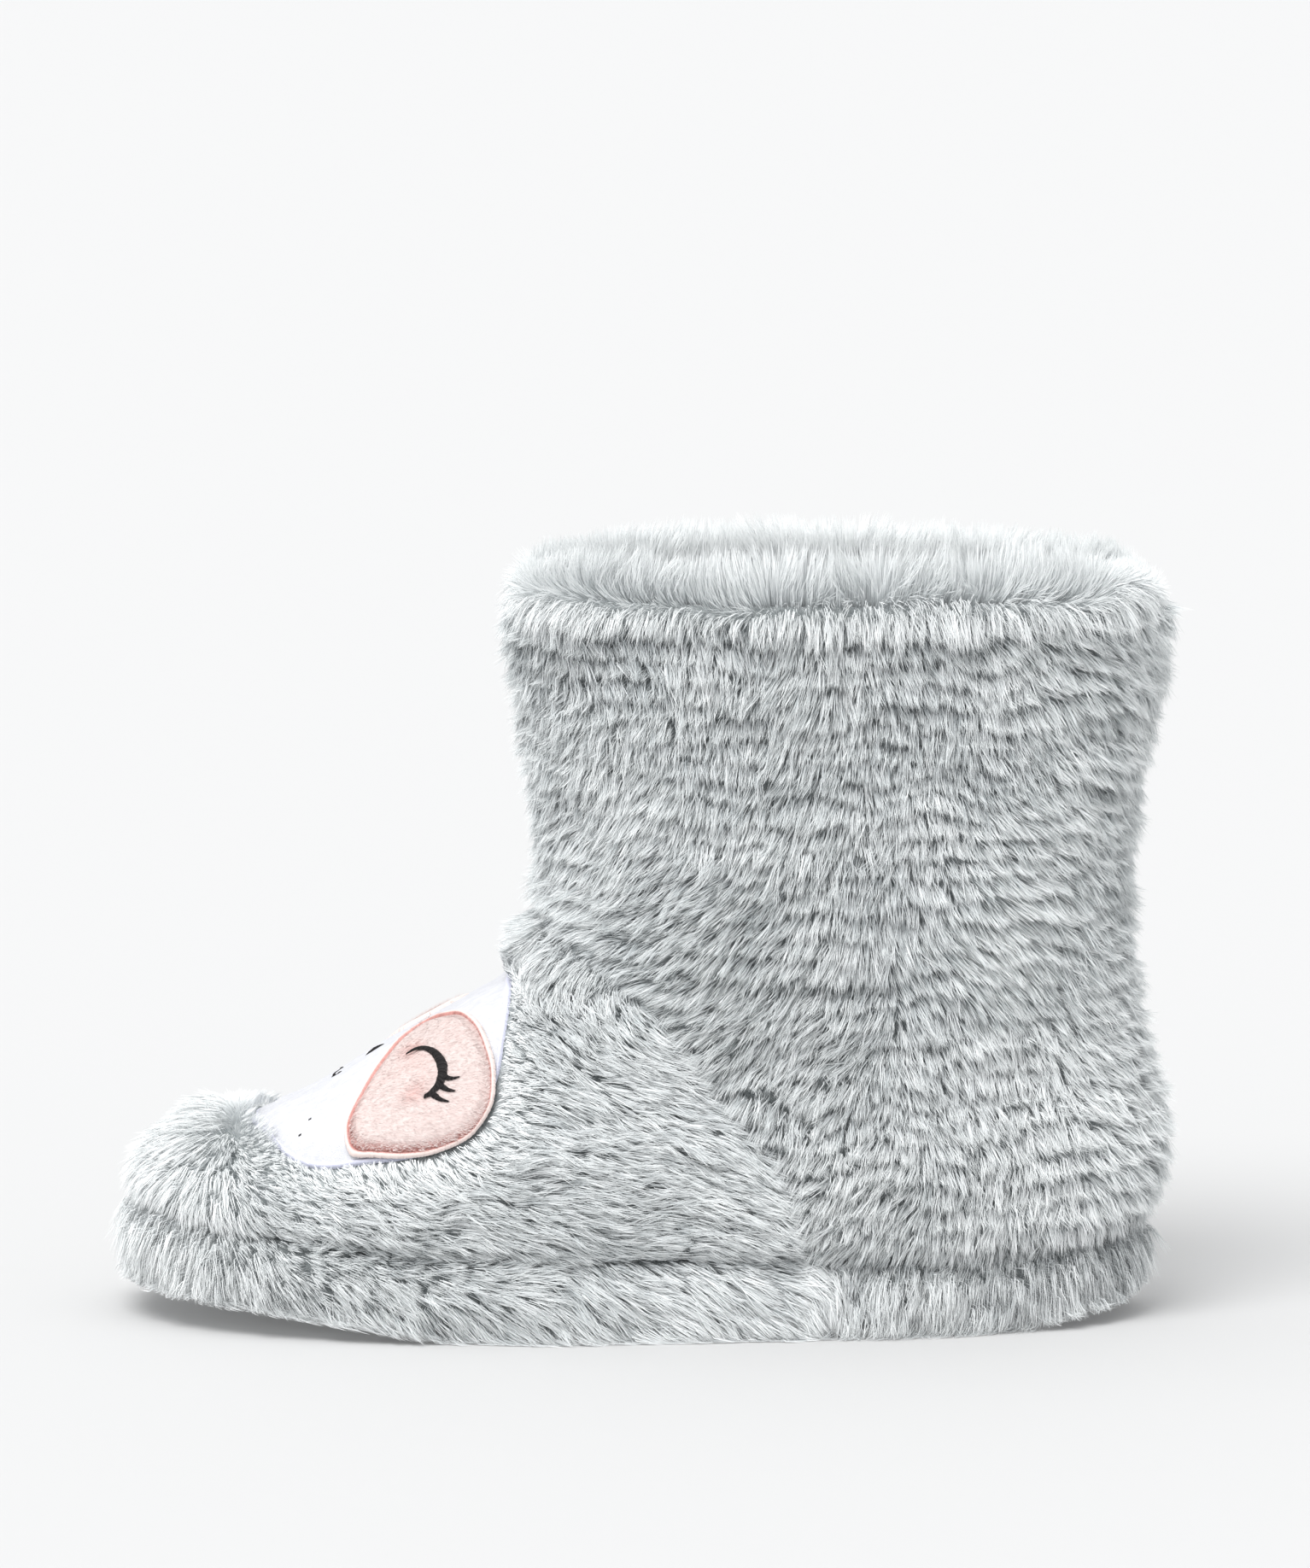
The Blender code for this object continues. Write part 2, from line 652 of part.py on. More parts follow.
def seam_cutter(name, shift, towards):
    """A prism across the foot that holds all that lies on one side of the seam."""
    x, z = seam_side(shift)
    far = towards * (BASE_LENGTH + COLLAR_HEIGHT)
    if towards > 0:
        outline = list(zip(x, z)) + [(far, z[-1]), (far, z[0])]
    else:
        outline = list(zip(x, z)) + [(x[-1], 2 * COLLAR_HEIGHT), (far, 2 * COLLAR_HEIGHT), (far, z[0])]
    count = len(outline)
    half = BALL_WIDTH
    points = [(px, side * half, pz) for side in (-1, 1) for px, pz in outline]
    faces = [tuple(range(count)), tuple(range(count, 2 * count))[::-1]]
    faces += [(k, (k + 1) % count, count + (k + 1) % count, count + k) for k in range(count)]
    return add_cutter(name, points, faces)


def make_upper(skin):
    points, faces = upper_solid(skin)
    vamp = add_object("vamp", points, faces, "grey fur")
    shaft = add_object("shaft", points, faces, "grey fur")
    cut(vamp, seam_cutter("seam_to_toe", GAP / 2, 1), "INTERSECT")
    cut(shaft, seam_cutter("seam_to_heel", -GAP / 2, -1), "INTERSECT")
    tall = 3 * PILE
    low, rim = face_grid(skin, -SEAT_GAP, SEAT_GAP)
    high, _ = face_grid(skin, tall, SEAT_GAP)
    cut(vamp, add_cutter("face_window", *closed_sheet(low, high, rim)), "DIFFERENCE")
    for side, name in ((1, "outer"), (-1, "inner")):
        low, rim = patch_grid(skin, side, PANEL_THICKNESS + GAP - SEAT_GAP, SEAT_GAP)
        high, _ = patch_grid(skin, side, tall, SEAT_GAP)
        cut(vamp, add_cutter("patch_window_" + name, *closed_sheet(low, high, rim)), "DIFFERENCE")


def make_face(skin):
    low, rim = face_grid(skin, 0.0, 0.0)
    high, _ = face_grid(skin, PANEL_THICKNESS, 0.0)
    add_object("face_panel", *closed_sheet(low, high, rim), "white plush")
    for side, name in ((1, "outer"), (-1, "inner")):
        low, rim = patch_grid(skin, side, PANEL_THICKNESS + GAP, 0.0)
        high, _ = patch_grid(skin, side, PANEL_THICKNESS + GAP + PATCH_THICKNESS, 0.0)
        add_object("eye_patch_" + name, *closed_sheet(low, high, rim), "pink plush")


def make_facing(skin):
    """The fur band turned into the top of the shaft, its locks lying up towards the edge."""
    rng = np.random.default_rng(23)
    count = 2 * LOCKS
    turn = np.arange(count) / count
    leg = COLLAR_HEIGHT - (platform_top(throat_x() + VAMP_LENGTH) + INSTEP_RISE)
    bottom = 1 - 0.48 * FACING_DEPTH / leg
    outside = -WALL - GAP
    inside = outside - FACING_WALL
    rings = []
    outer_turn = np.arange(LOCKS) / LOCKS
    for level in (bottom, 0.88, 1.0):
        rings.append(skin.place(outer_turn, np.full(LOCKS, level), np.full(LOCKS, outside)))
    top = skin.place(outer_turn, np.ones(LOCKS), np.full(LOCKS, outside))
    top[:, 2] += 0.45 * PILE
    rings.append(top)
    crest = skin.place(turn, np.ones(count), np.full(count, inside - 0.2 * FACING_PILE))
    crest[:, 2] += PILE * rng.uniform(0.84, 1.0, count)
    rings.append(crest)
    for row in range(FACING_ROWS):
        centre = (np.arange(count) + row) % 2 == 0
        level = 1 - (1 - bottom) * (row + 0.2) / FACING_ROWS
        wild = rng.uniform(0.85, 1.0, count)
        tip = skin.place(turn, np.full(count, level), inside - FACING_PILE * np.where(centre, wild, 0.6))
        tip[:, 2] += np.where(centre, 0.45 * FACING_PILE, -0.1 * FACING_PILE)
        rings.append(tip)
        root = skin.place(turn, np.full(count, level), inside - FACING_PILE * np.where(centre, 0.45, 0.35))
        root[:, 2] -= np.where(centre, 0.0, 0.35 * FACING_PILE)
        rings.append(root)
    last = skin.place(turn, np.full(count, bottom), np.full(count, inside - 0.5 * FACING_PILE))
    rings.append(last)
    add_object("collar_facing", *stack_rings(rings), "grey fur")


def base_outline(count, grow):
    """The foot's outline where the upper meets the platform, moved out by grow."""
    ring = moved_outline(section(0.0)[:, :2], grow)
    closed = np.concatenate([ring, ring[:1]])
    length = np.concatenate([[0], np.cumsum(np.linalg.norm(np.diff(closed, axis=0), axis=1))])
    even = np.linspace(0, length[-1], count, endpoint=False)
    return np.stack([np.interp(even, length, closed[:, k]) for k in (0, 1)], axis=1)


def strip_faces(count):
    """A closed outline filled by strips across the foot; point 0 is the toe."""
    faces = [(0, 1, count - 1)]
    for k in range(1, count // 2 - 1):
        faces.append((k, k + 1, count - k - 1, count - k))
    half = count // 2
    faces.append((half - 1, half, half + 1))
    return faces


def slab(name, bottom, top, finish, between=()):
    """A solid with two filled outlines, and rings between them."""
    count = len(bottom)
    rings = [bottom] + list(between) + [top]
    points = np.concatenate(rings)
    faces = strip_faces(count)
    last = count * (len(rings) - 1)
    faces += [tuple(last + k for k in face) for face in strip_faces(count)]
    for k in range(len(rings) - 1):
        faces += band_faces(k * count, (k + 1) * count, count, count)
    return add_object(name, points, faces, finish)


def raised(outline, heights):
    return np.column_stack([outline, heights])


def make_platform():
    """Foam platform with its fur wrap: flat faces above and below, locks round its side."""
    rng = np.random.default_rng(5)
    count = 2 * WRAP_LOCKS
    under = base_outline(count, -0.2 * WRAP_PILE)
    bottom = raised(under, sole_underside(under[:, 0]) + OUTSOLE_THICKNESS + GAP)
    root = base_outline(count, WRAP_ROWS[0][2] * WRAP_PILE)
    rings = [raised(root, sole_underside(root[:, 0]) + 0.9 * OUTSOLE_THICKNESS)]
    for number, (tip_out, tip_down, under_out, under_down) in enumerate(WRAP_ROWS):
        centre = (np.arange(count) + number) % 2 == 0
        if number > 0:
            low = base_outline(count, under_out * WRAP_PILE)
            drop = np.where(centre, under_down, under_down - 0.12)
            rings.append(raised(low, platform_top(low[:, 0]) - PLATFORM_HEIGHT * drop))
        tips = base_outline(count, tip_out * WRAP_PILE)
        between = base_outline(count, 0.62 * tip_out * WRAP_PILE)
        edge = np.where(centre[:, None], tips, between)
        drop = np.where(centre, tip_down * rng.uniform(0.88, 1.0, count), tip_down - 0.22)
        floor = sole_underside(edge[:, 0]) + 2 * GAP
        rings.append(raised(edge, np.maximum(platform_top(edge[:, 0]) - PLATFORM_HEIGHT * drop, floor)))
    seam = base_outline(count, 0.30 * WRAP_PILE)
    rings.append(raised(seam, platform_top(seam[:, 0])))
    inner = base_outline(count, -0.5 * WRAP_PILE)
    return slab("midsole_wrap", bottom, raised(inner, platform_top(inner[:, 0])), "grey fur", rings)


def make_outsole():
    count = 64
    rim = base_outline(count, -0.4 * WRAP_PILE)
    wide = base_outline(count, -0.25 * WRAP_PILE)
    bottom = raised(rim, sole_underside(rim[:, 0]) + arch(rim[:, 0]))
    side = raised(wide, sole_underside(wide[:, 0]) + 0.4 * OUTSOLE_THICKNESS)
    top = raised(wide, sole_underside(wide[:, 0]) + OUTSOLE_THICKNESS)
    return slab("outsole", bottom, top, "soft sole", [side])


def make_insole(skin):
    """The footbed fills the lining's own outline."""
    turn = np.arange(LOCKS) / LOCKS
    lining = skin.place(turn, np.zeros(LOCKS), np.full(LOCKS, -WALL))[:, :2]
    rim = moved_outline(lining, -SEAT_GAP)
    crown = moved_outline(lining, -SEAT_GAP - 0.35 * INSOLE_THICKNESS)
    bottom = raised(rim, platform_top(rim[:, 0]) + GAP)
    side = raised(rim, platform_top(rim[:, 0]) + GAP + 0.7 * INSOLE_THICKNESS)
    top = raised(crown, platform_top(crown[:, 0]) + GAP + INSOLE_THICKNESS)
    return slab("insole", bottom, top, "footbed cloth", [side])


def main():
    clear_scene()
    skin = Skin()
    make_outsole()
    make_platform()
    make_insole(skin)
    make_upper(skin)
    make_face(skin)
    make_facing(skin)


main()
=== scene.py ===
"""Child's bootie slipper for a left foot, in deep faux fur, with a sleeping animal's face on the vamp.

Metres, +Z up. +X points to the toe, +Y to the outer side of the foot, and the floor is at 0. The
sections follow the slipper as it is put together, from the sole up.
"""
import math

import bpy
import numpy as np
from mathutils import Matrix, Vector
from mathutils.kdtree import KDTree


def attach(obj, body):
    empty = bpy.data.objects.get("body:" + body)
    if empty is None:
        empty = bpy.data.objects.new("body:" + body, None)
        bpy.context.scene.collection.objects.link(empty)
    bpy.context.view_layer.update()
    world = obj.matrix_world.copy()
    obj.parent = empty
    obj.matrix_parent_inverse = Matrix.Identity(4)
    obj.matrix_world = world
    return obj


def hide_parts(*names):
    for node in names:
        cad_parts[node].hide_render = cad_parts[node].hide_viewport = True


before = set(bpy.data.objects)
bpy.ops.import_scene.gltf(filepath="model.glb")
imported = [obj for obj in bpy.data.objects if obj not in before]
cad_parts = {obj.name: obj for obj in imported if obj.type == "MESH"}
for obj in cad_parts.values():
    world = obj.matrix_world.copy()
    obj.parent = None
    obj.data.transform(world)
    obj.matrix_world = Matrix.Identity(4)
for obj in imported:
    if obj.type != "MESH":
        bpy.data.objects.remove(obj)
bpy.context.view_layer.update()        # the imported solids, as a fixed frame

# Outsole. A thin textile sheet sole under the foam, sprung a little at toe and heel. Rubbery grip
# dots are printed on it in staggered rows, and only the dots touch the floor.
BASE_LENGTH = 0.2050
HEEL_REACH = 0.1005
VAMP_LENGTH = 0.0825
BALL_STATION = 0.70
WAIST_STATION = 0.42
HEEL_STATION = 0.16
BALL_WIDTH = 0.081
WAIST_WIDTH = 0.073
HEEL_WIDTH = 0.066
COLLAR_WIDTH = 0.081
OUTER_SHARE = 0.515
TOE_SWING = 0.004
OUTSOLE_THICKNESS = 0.003
PLATFORM_HEIGHT = 0.0142
PLATFORM_HEEL_SHARE = 0.88
TOE_SPRING = 0.0080
HEEL_SPRING = 0.0050
TREAD_FRONT = 0.045
TREAD_BACK = 0.063
INSTEP_RISE = 0.0535
HEEL_RISE = 0.066
COLLAR_HEIGHT = 0.1525
HEEL_BULGE = 0.0042
FRONT_FLARE = 0.0070
BACK_FLARE = 0.0080
GAP = 0.0003
WRAP_PILE = 0.0086

# The front of the upper from toe to collar, as on the last
FRONT_LINE = (
    # level, toe, instep, flare, leg
    (0.00, 1.000, 0.000, 0.00, 0.00),
    (0.07, 0.983, 0.110, 0.00, 0.00),
    (0.14, 0.897, 0.235, 0.00, 0.00),
    (0.22, 0.737, 0.348, 0.00, 0.00),
    (0.30, 0.527, 0.475, 0.00, 0.00),
    (0.38, 0.317, 0.640, 0.00, 0.00),
    (0.45, 0.122, 0.820, 0.00, 0.00),
    (0.52, 0.000, 1.000, 0.00, 0.00),
    (0.60, 0.000, 1.000, -0.76, 0.15),
    (0.70, 0.000, 1.000, -0.71, 0.36),
    (0.80, 0.000, 1.000, -0.43, 0.57),
    (0.90, 0.000, 1.000, -0.10, 0.79),
    (1.00, 0.000, 1.000, 0.21, 1.00),
)
BACK_LINE = (
    # level, bulge, rise, flare, leg
    (0.00, 0.00, 0.000, 0.00, 0.00),
    (0.07, 0.80, 0.120, 0.00, 0.00),
    (0.14, 1.00, 0.245, 0.00, 0.00),
    (0.22, 0.72, 0.380, 0.00, 0.00),
    (0.30, 0.15, 0.515, 0.00, 0.00),
    (0.38, -0.28, 0.665, 0.00, 0.00),
    (0.45, -0.60, 0.825, 0.00, 0.00),
    (0.52, -0.86, 1.000, 0.00, 0.00),
    (0.60, -0.86, 1.000, 0.02, 0.16),
    (0.70, -0.86, 1.000, 0.20, 0.36),
    (0.80, -0.86, 1.000, 0.52, 0.57),
    (0.90, -0.86, 1.000, 0.86, 0.79),
    (1.00, -0.86, 1.000, 1.00, 1.00),
)
SECTIONS = (
    # level, full, foot, front, back
    (0.00, 1.000, 1.00, 2.55, 2.45),
    (0.07, 1.040, 1.00, 2.60, 2.45),
    (0.14, 1.045, 1.00, 2.60, 2.40),
    (0.22, 1.020, 1.00, 2.55, 2.35),
    (0.30, 0.985, 0.95, 2.50, 2.30),
    (0.38, 0.960, 0.80, 2.45, 2.25),
    (0.45, 0.945, 0.55, 2.40, 2.20),
    (0.52, 0.935, 0.30, 2.35, 2.20),
    (0.60, 0.925, 0.00, 2.25, 2.20),
    (0.70, 0.935, 0.00, 2.20, 2.20),
    (0.80, 0.955, 0.00, 2.20, 2.20),
    (0.90, 0.980, 0.00, 2.20, 2.20),
    (1.00, 1.000, 0.00, 2.20, 2.20),
)
HALF_STEPS = 90
LEVELS = 121


def smooth_curve(at, knots, values):
    """A smooth curve through the knots, read at the given places."""
    knots = np.asarray(knots, float)
    values = np.asarray(values, float)
    slopes = np.gradient(values, knots)
    at = np.clip(np.asarray(at, float), knots[0], knots[-1])
    index = np.clip(np.searchsorted(knots, at, side="right") - 1, 0, len(knots) - 2)
    span = knots[index + 1] - knots[index]
    t = (at - knots[index]) / span
    rise = values[index + 1] - values[index]
    start = slopes[index] * span
    end = slopes[index + 1] * span
    bend = 3 * rise - 2 * start - end
    turn = start + end - 2 * rise
    return values[index] + t * start + t * t * bend + t ** 3 * turn


def column(table, number, at):
    rows = np.array(table)
    return smooth_curve(at, rows[:, 0], rows[:, number])


def unit(vectors):
    return vectors / np.maximum(np.linalg.norm(vectors, axis=-1, keepdims=True), 1e-9)


def run_along(points):
    """Distance of each point of a line from its first, along the line."""
    return np.concatenate([[0], np.cumsum(np.linalg.norm(np.diff(points, axis=0), axis=1))])


def read_line(points, run, at):
    return np.stack([np.interp(at, run, values) for values in points.T], axis=1)


def even_points(points, count, closed=False):
    """A line drawn again with evenly spaced points."""
    if closed:
        points = np.concatenate([points, points[:1]])
    run = run_along(points)
    return read_line(points, run, np.linspace(0, run[-1], count, endpoint=not closed))


def eased(points, count, first=0, last=-1, endpoint=True):
    """A smooth line through flat points, drawn evenly from the first to the last of them."""
    points = np.array(points, float)
    run = run_along(points)
    at = np.linspace(run[first], run[last], count, endpoint=endpoint)
    return np.stack([smooth_curve(at, run, values) for values in points.T], axis=1)


def sole_underside(x):
    toe = np.clip((x - TREAD_FRONT) / (BASE_LENGTH - HEEL_REACH - TREAD_FRONT), 0, None)
    heel = np.clip((-x - TREAD_BACK) / (HEEL_REACH - TREAD_BACK), 0, None)
    return TOE_SPRING * toe ** 1.25 + HEEL_SPRING * heel ** 1.6


def platform_top(x):
    to_waist = BASE_LENGTH * WAIST_STATION
    heel_share = np.clip((to_waist - HEEL_REACH - x) / to_waist, 0, 1)
    height = PLATFORM_HEIGHT * (1 - (1 - PLATFORM_HEEL_SHARE) * heel_share)
    return sole_underside(x) + OUTSOLE_THICKNESS + GAP + height


def foot_width(x):
    stations = (0.0, HEEL_STATION, WAIST_STATION, BALL_STATION, 1.0)
    widths = (HEEL_WIDTH, HEEL_WIDTH, WAIST_WIDTH, BALL_WIDTH, BALL_WIDTH * 1.03)
    return smooth_curve((x + HEEL_REACH) / BASE_LENGTH, stations, widths)


def middle_line(x):
    ahead = np.clip((x + HEEL_REACH) / BASE_LENGTH - WAIST_STATION, 0, None) / (1 - WAIST_STATION)
    return -TOE_SWING * ahead ** 2


def section(level):
    """One closed section of the last, from the front by the outer side to the back and round."""
    toe_end = BASE_LENGTH - HEEL_REACH
    throat = toe_end - VAMP_LENGTH
    base_front = platform_top(toe_end) + GAP
    base_back = platform_top(-HEEL_REACH) + GAP
    throat_height = base_front + INSTEP_RISE
    ankle_height = base_back + HEEL_RISE
    toe, instep, front_flare, front_leg = [column(FRONT_LINE, k, level) for k in (1, 2, 3, 4)]
    bulge, rise, back_flare, back_leg = [column(BACK_LINE, k, level) for k in (1, 2, 3, 4)]
    front_x = throat + VAMP_LENGTH * toe + FRONT_FLARE * front_flare
    front_z = base_front + INSTEP_RISE * instep + front_leg * (COLLAR_HEIGHT - throat_height)
    back_x = -HEEL_REACH - HEEL_BULGE * bulge - BACK_FLARE * back_flare
    back_z = base_back + HEEL_RISE * rise + back_leg * (COLLAR_HEIGHT - ankle_height)
    full = column(SECTIONS, 1, level)
    foot = column(SECTIONS, 2, level)
    turn = np.linspace(0, math.pi, HALF_STEPS + 1)
    ends = np.where(np.cos(turn) >= 0, 2 / column(SECTIONS, 3, level), 2 / column(SECTIONS, 4, level))
    along = np.sign(np.cos(turn)) * np.abs(np.cos(turn)) ** ends
    across = np.abs(np.sin(turn)) ** ends
    across[0] = 0
    across[-1] = 0
    x = (front_x + back_x) / 2 + along * (front_x - back_x) / 2
    width = full * (foot * foot_width(x) + (1 - foot) * COLLAR_WIDTH)
    share = (x - back_x) / (front_x - back_x)
    base_share = (x + HEEL_REACH) / BASE_LENGTH
    sag = platform_top(x) + GAP - (base_back + (base_front - base_back) * base_share)
    z = back_z + (front_z - back_z) * share + sag * np.clip(1 - level / 0.30, 0, 1) ** 1.5
    halves = []
    for side_share in (OUTER_SHARE, OUTER_SHARE - 1):
        y = middle_line(x) + side_share * across * width
        halves.append(even_points(np.stack([x, y, z], axis=1), HALF_STEPS + 1))
    return np.concatenate([halves[0], halves[1][-2:0:-1]])


def moved_outline(outline, grow):
    """A closed flat outline moved out by grow, square to itself."""
    around = np.roll(outline, -1, axis=0) - np.roll(outline, 1, axis=0)
    out = unit(np.stack([around[:, 1], -around[:, 0]], axis=1))
    out *= np.sign(((outline - outline.mean(axis=0)) * out).sum(axis=1).mean())
    return outline + out * grow


def base_outline(count, grow):
    """The foot's outline where the upper meets the platform, moved out by grow."""
    return even_points(moved_outline(section(0.0)[:, :2], grow), count, closed=True)


def cloth(red, green, blue):
    """A colour as a dyer's chart gives it, 0 to 255, turned into light."""
    shares = np.array([red, green, blue]) / 255
    light = np.where(shares <= 0.04045, shares / 12.92, ((shares + 0.055) / 1.055) ** 2.4)
    return (*map(float, light), 1.0)


class Wire:
    """A socket of a finish's nodes. Arithmetic on it adds Math nodes."""

    def __init__(self, finish, socket):
        self.finish = finish
        self.socket = socket

    def _math(self, operation, first, second):
        return self.finish.node("ShaderNodeMath", {"operation": operation}, {0: first, 1: second})

    def __add__(self, other):
        return self._math("ADD", self, other)

    def __radd__(self, other):
        return self._math("ADD", other, self)

    def __sub__(self, other):
        return self._math("SUBTRACT", self, other)

    def __rsub__(self, other):
        return self._math("SUBTRACT", other, self)

    def __mul__(self, other):
        return self._math("MULTIPLY", self, other)

    def __rmul__(self, other):
        return self._math("MULTIPLY", other, self)


class Finish:
    """One material: a Principled BSDF and the nodes that drive it."""

    def __init__(self, name, roughness, sheen=0.0):
        self.material = bpy.data.materials.new(name)
        self.material.use_nodes = True
        self.tree = self.material.node_tree
        self.shader = self.tree.nodes["Principled BSDF"]
        self.shader.inputs["Roughness"].default_value = roughness
        self.shader.inputs["Sheen Weight"].default_value = sheen

    def node(self, kind, settings=None, sockets=None, output=0):
        """Adds a node: first its settings, then the values or links of its sockets."""
        made = self.tree.nodes.new(kind)
        for name, value in (settings or {}).items():
            setattr(made, name, value)
        for name, value in (sockets or {}).items():
            socket = made.inputs[name]
            if isinstance(value, Wire):
                self.tree.links.new(value.socket, socket)
            else:
                socket.default_value = value
        return Wire(self, made.outputs[output])

    def mix(self, share, first, second):
        """Two colours mixed."""
        settings = {"data_type": "RGBA", "clamp_factor": True}
        return self.node("ShaderNodeMix", settings, {0: share, 6: first, 7: second}, 2)

    def noise(self, scale, detail=2.0, stretch=None):
        """Noise over the object's own place, in lumps per metre; stretch flattens it along an axis."""
        place = self.node("ShaderNodeTexCoord", None, None, 3)
        if stretch:
            place = self.node("ShaderNodeMapping", None, {"Vector": place, "Scale": stretch})
        return self.node("ShaderNodeTexNoise", None, {"Vector": place, "Scale": scale, "Detail": detail})

    def flat_map(self, name):
        """The two numbers of a flat map."""
        place = self.node("ShaderNodeUVMap", {"uv_map": name})
        split = self.node("ShaderNodeSeparateXYZ", None, {"Vector": place})
        return split, Wire(self, split.socket.node.outputs[1])

    def range(self, value, low, high, new_low=0.0, new_high=1.0):
        sockets = {"Value": value, 1: low, 2: high, 3: new_low, 4: new_high}
        return self.node("ShaderNodeMapRange", {"clamp": True}, sockets)

    def colour(self, value):
        if isinstance(value, Wire):
            self.tree.links.new(value.socket, self.shader.inputs["Base Color"])
        else:
            self.shader.inputs["Base Color"].default_value = value
        return self

    def relief(self, height, depth):
        """Bump of the given depth in metres."""
        bump = self.node("ShaderNodeBump", None, {"Height": height, "Distance": depth})
        self.tree.links.new(bump.socket, self.shader.inputs["Normal"])
        return self


def add_piece(name, points, faces, finish, replaced=(), normals=None, flat_maps=None):
    """A mesh piece from arrays of points and corner numbers. All of its faces have as many corners."""
    points = np.asarray(points, np.float32)
    faces = np.asarray(faces, np.int32)
    mesh = bpy.data.meshes.new(name)
    mesh.vertices.add(len(points))
    mesh.vertices.foreach_set("co", points.ravel())
    mesh.loops.add(faces.size)
    mesh.loops.foreach_set("vertex_index", faces.ravel())
    mesh.polygons.add(len(faces))
    mesh.polygons.foreach_set("loop_start", np.arange(0, faces.size, faces.shape[1], dtype=np.int32))
    mesh.update(calc_edges=True)
    mesh.shade_smooth()
    if normals is not None:
        free = mesh.attributes.new("custom_normal", "FLOAT_VECTOR", "POINT")
        free.data.foreach_set("vector", unit(np.asarray(normals, np.float32)).ravel())
    for layer_name, flat in (flat_maps or {}).items():
        layer = mesh.uv_layers.new(name=layer_name)
        layer.uv.foreach_set("vector", flat[faces.ravel()].astype(np.float32).ravel())
    mesh.materials.append(finish.material)
    piece = bpy.data.objects.new(name, mesh)
    bpy.context.scene.collection.objects.link(piece)
    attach(piece, "root")
    if replaced:
        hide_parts(*replaced)
    return piece


def grid_faces(rows, columns, closed=False):
    """Four-cornered faces of a grid of points, row by row; closed joins the last column to the first."""
    steps = columns if closed else columns - 1
    row, step = np.meshgrid(np.arange(rows - 1), np.arange(steps), indexing="ij")
    after = (step + 1) % columns
    first = row * columns
    return np.stack([first + step, first + after, first + columns + after, first + columns + step],
                    axis=-1).reshape(-1, 4)


DOT_HEIGHT = 0.0006
DOT_RADIUS = 0.0017
DOT_PITCH = 0.0062
SOLE_EDGE = 0.25            # share of WRAP_PILE by which the sheet sole stays inside the base line
SOLE_POINTS = 160
SOLE_RINGS = 16

textile = Finish("textile_sole", 0.82)
weave = textile.node("ShaderNodeTexWave", {"wave_type": "BANDS", "bands_direction": "DIAGONAL"},
                     {"Vector": textile.node("ShaderNodeTexCoord", None, None, 3), "Scale": 420.0,
                      "Distortion": 1.2, "Detail": 1.0}, 1)
tint = textile.mix(textile.range(textile.noise(160.0, 4.0), 0.35, 0.68), cloth(192, 196, 197),
                   cloth(214, 217, 217))
textile.colour(textile.mix(weave * 0.35, tint, cloth(172, 177, 178)))
textile.relief(weave + textile.noise(900.0, 2.0) * 0.6, 0.00018)


def sheet_sole():
    """The sheet as one closed surface: underside, rounded edge and top, ring by ring."""
    edge = base_outline(SOLE_POINTS, -SOLE_EDGE * WRAP_PILE)
    middle = np.stack([edge[:, 0], middle_line(edge[:, 0])], axis=1) * (0.86, 1.0)
    rings = []
    for share in np.linspace(0.0, 0.97, SOLE_RINGS):
        flat = middle + (edge - middle) * share
        rings.append(np.column_stack([flat, sole_underside(flat[:, 0]) + DOT_HEIGHT]))
    for share, height in ((0.992, 0.30), (1.0, 0.5), (1.0, 0.80), (0.985, 1.0), (0.5, 1.0)):
        flat = middle + (edge - middle) * share
        lift = DOT_HEIGHT + (OUTSOLE_THICKNESS - DOT_HEIGHT) * height
        rings.append(np.column_stack([flat, sole_underside(flat[:, 0]) + lift]))
    return np.concatenate(rings), grid_faces(len(rings), SOLE_POINTS, closed=True)[:, ::-1]


sole_points, sole_faces = sheet_sole()
add_piece("sheet_sole", sole_points, sole_faces, textile, ["outsole"])

rubber = Finish("grip_dots", 0.45)
rubber.colour(rubber.mix(rubber.range(rubber.noise(240.0), 0.3, 0.7), cloth(222, 224, 225),
                         cloth(236, 238, 239)))
rubber.relief(rubber.noise(1500.0), 0.00003)


def inside_outline(points, outline):
    """Which flat points lie inside a closed outline."""
    start = outline
    end = np.roll(outline, -1, axis=0)
    crosses = (start[None, :, 1] > points[:, None, 1]) != (end[None, :, 1] > points[:, None, 1])
    rise = np.where(end[:, 1] == start[:, 1], 1, end[:, 1] - start[:, 1])
    reach = start[:, 0] + (points[:, None, 1] - start[:, 1]) * (end[:, 0] - start[:, 0]) / rise
    return (crosses & (points[:, None, 0] < reach)).sum(1) % 2 == 1


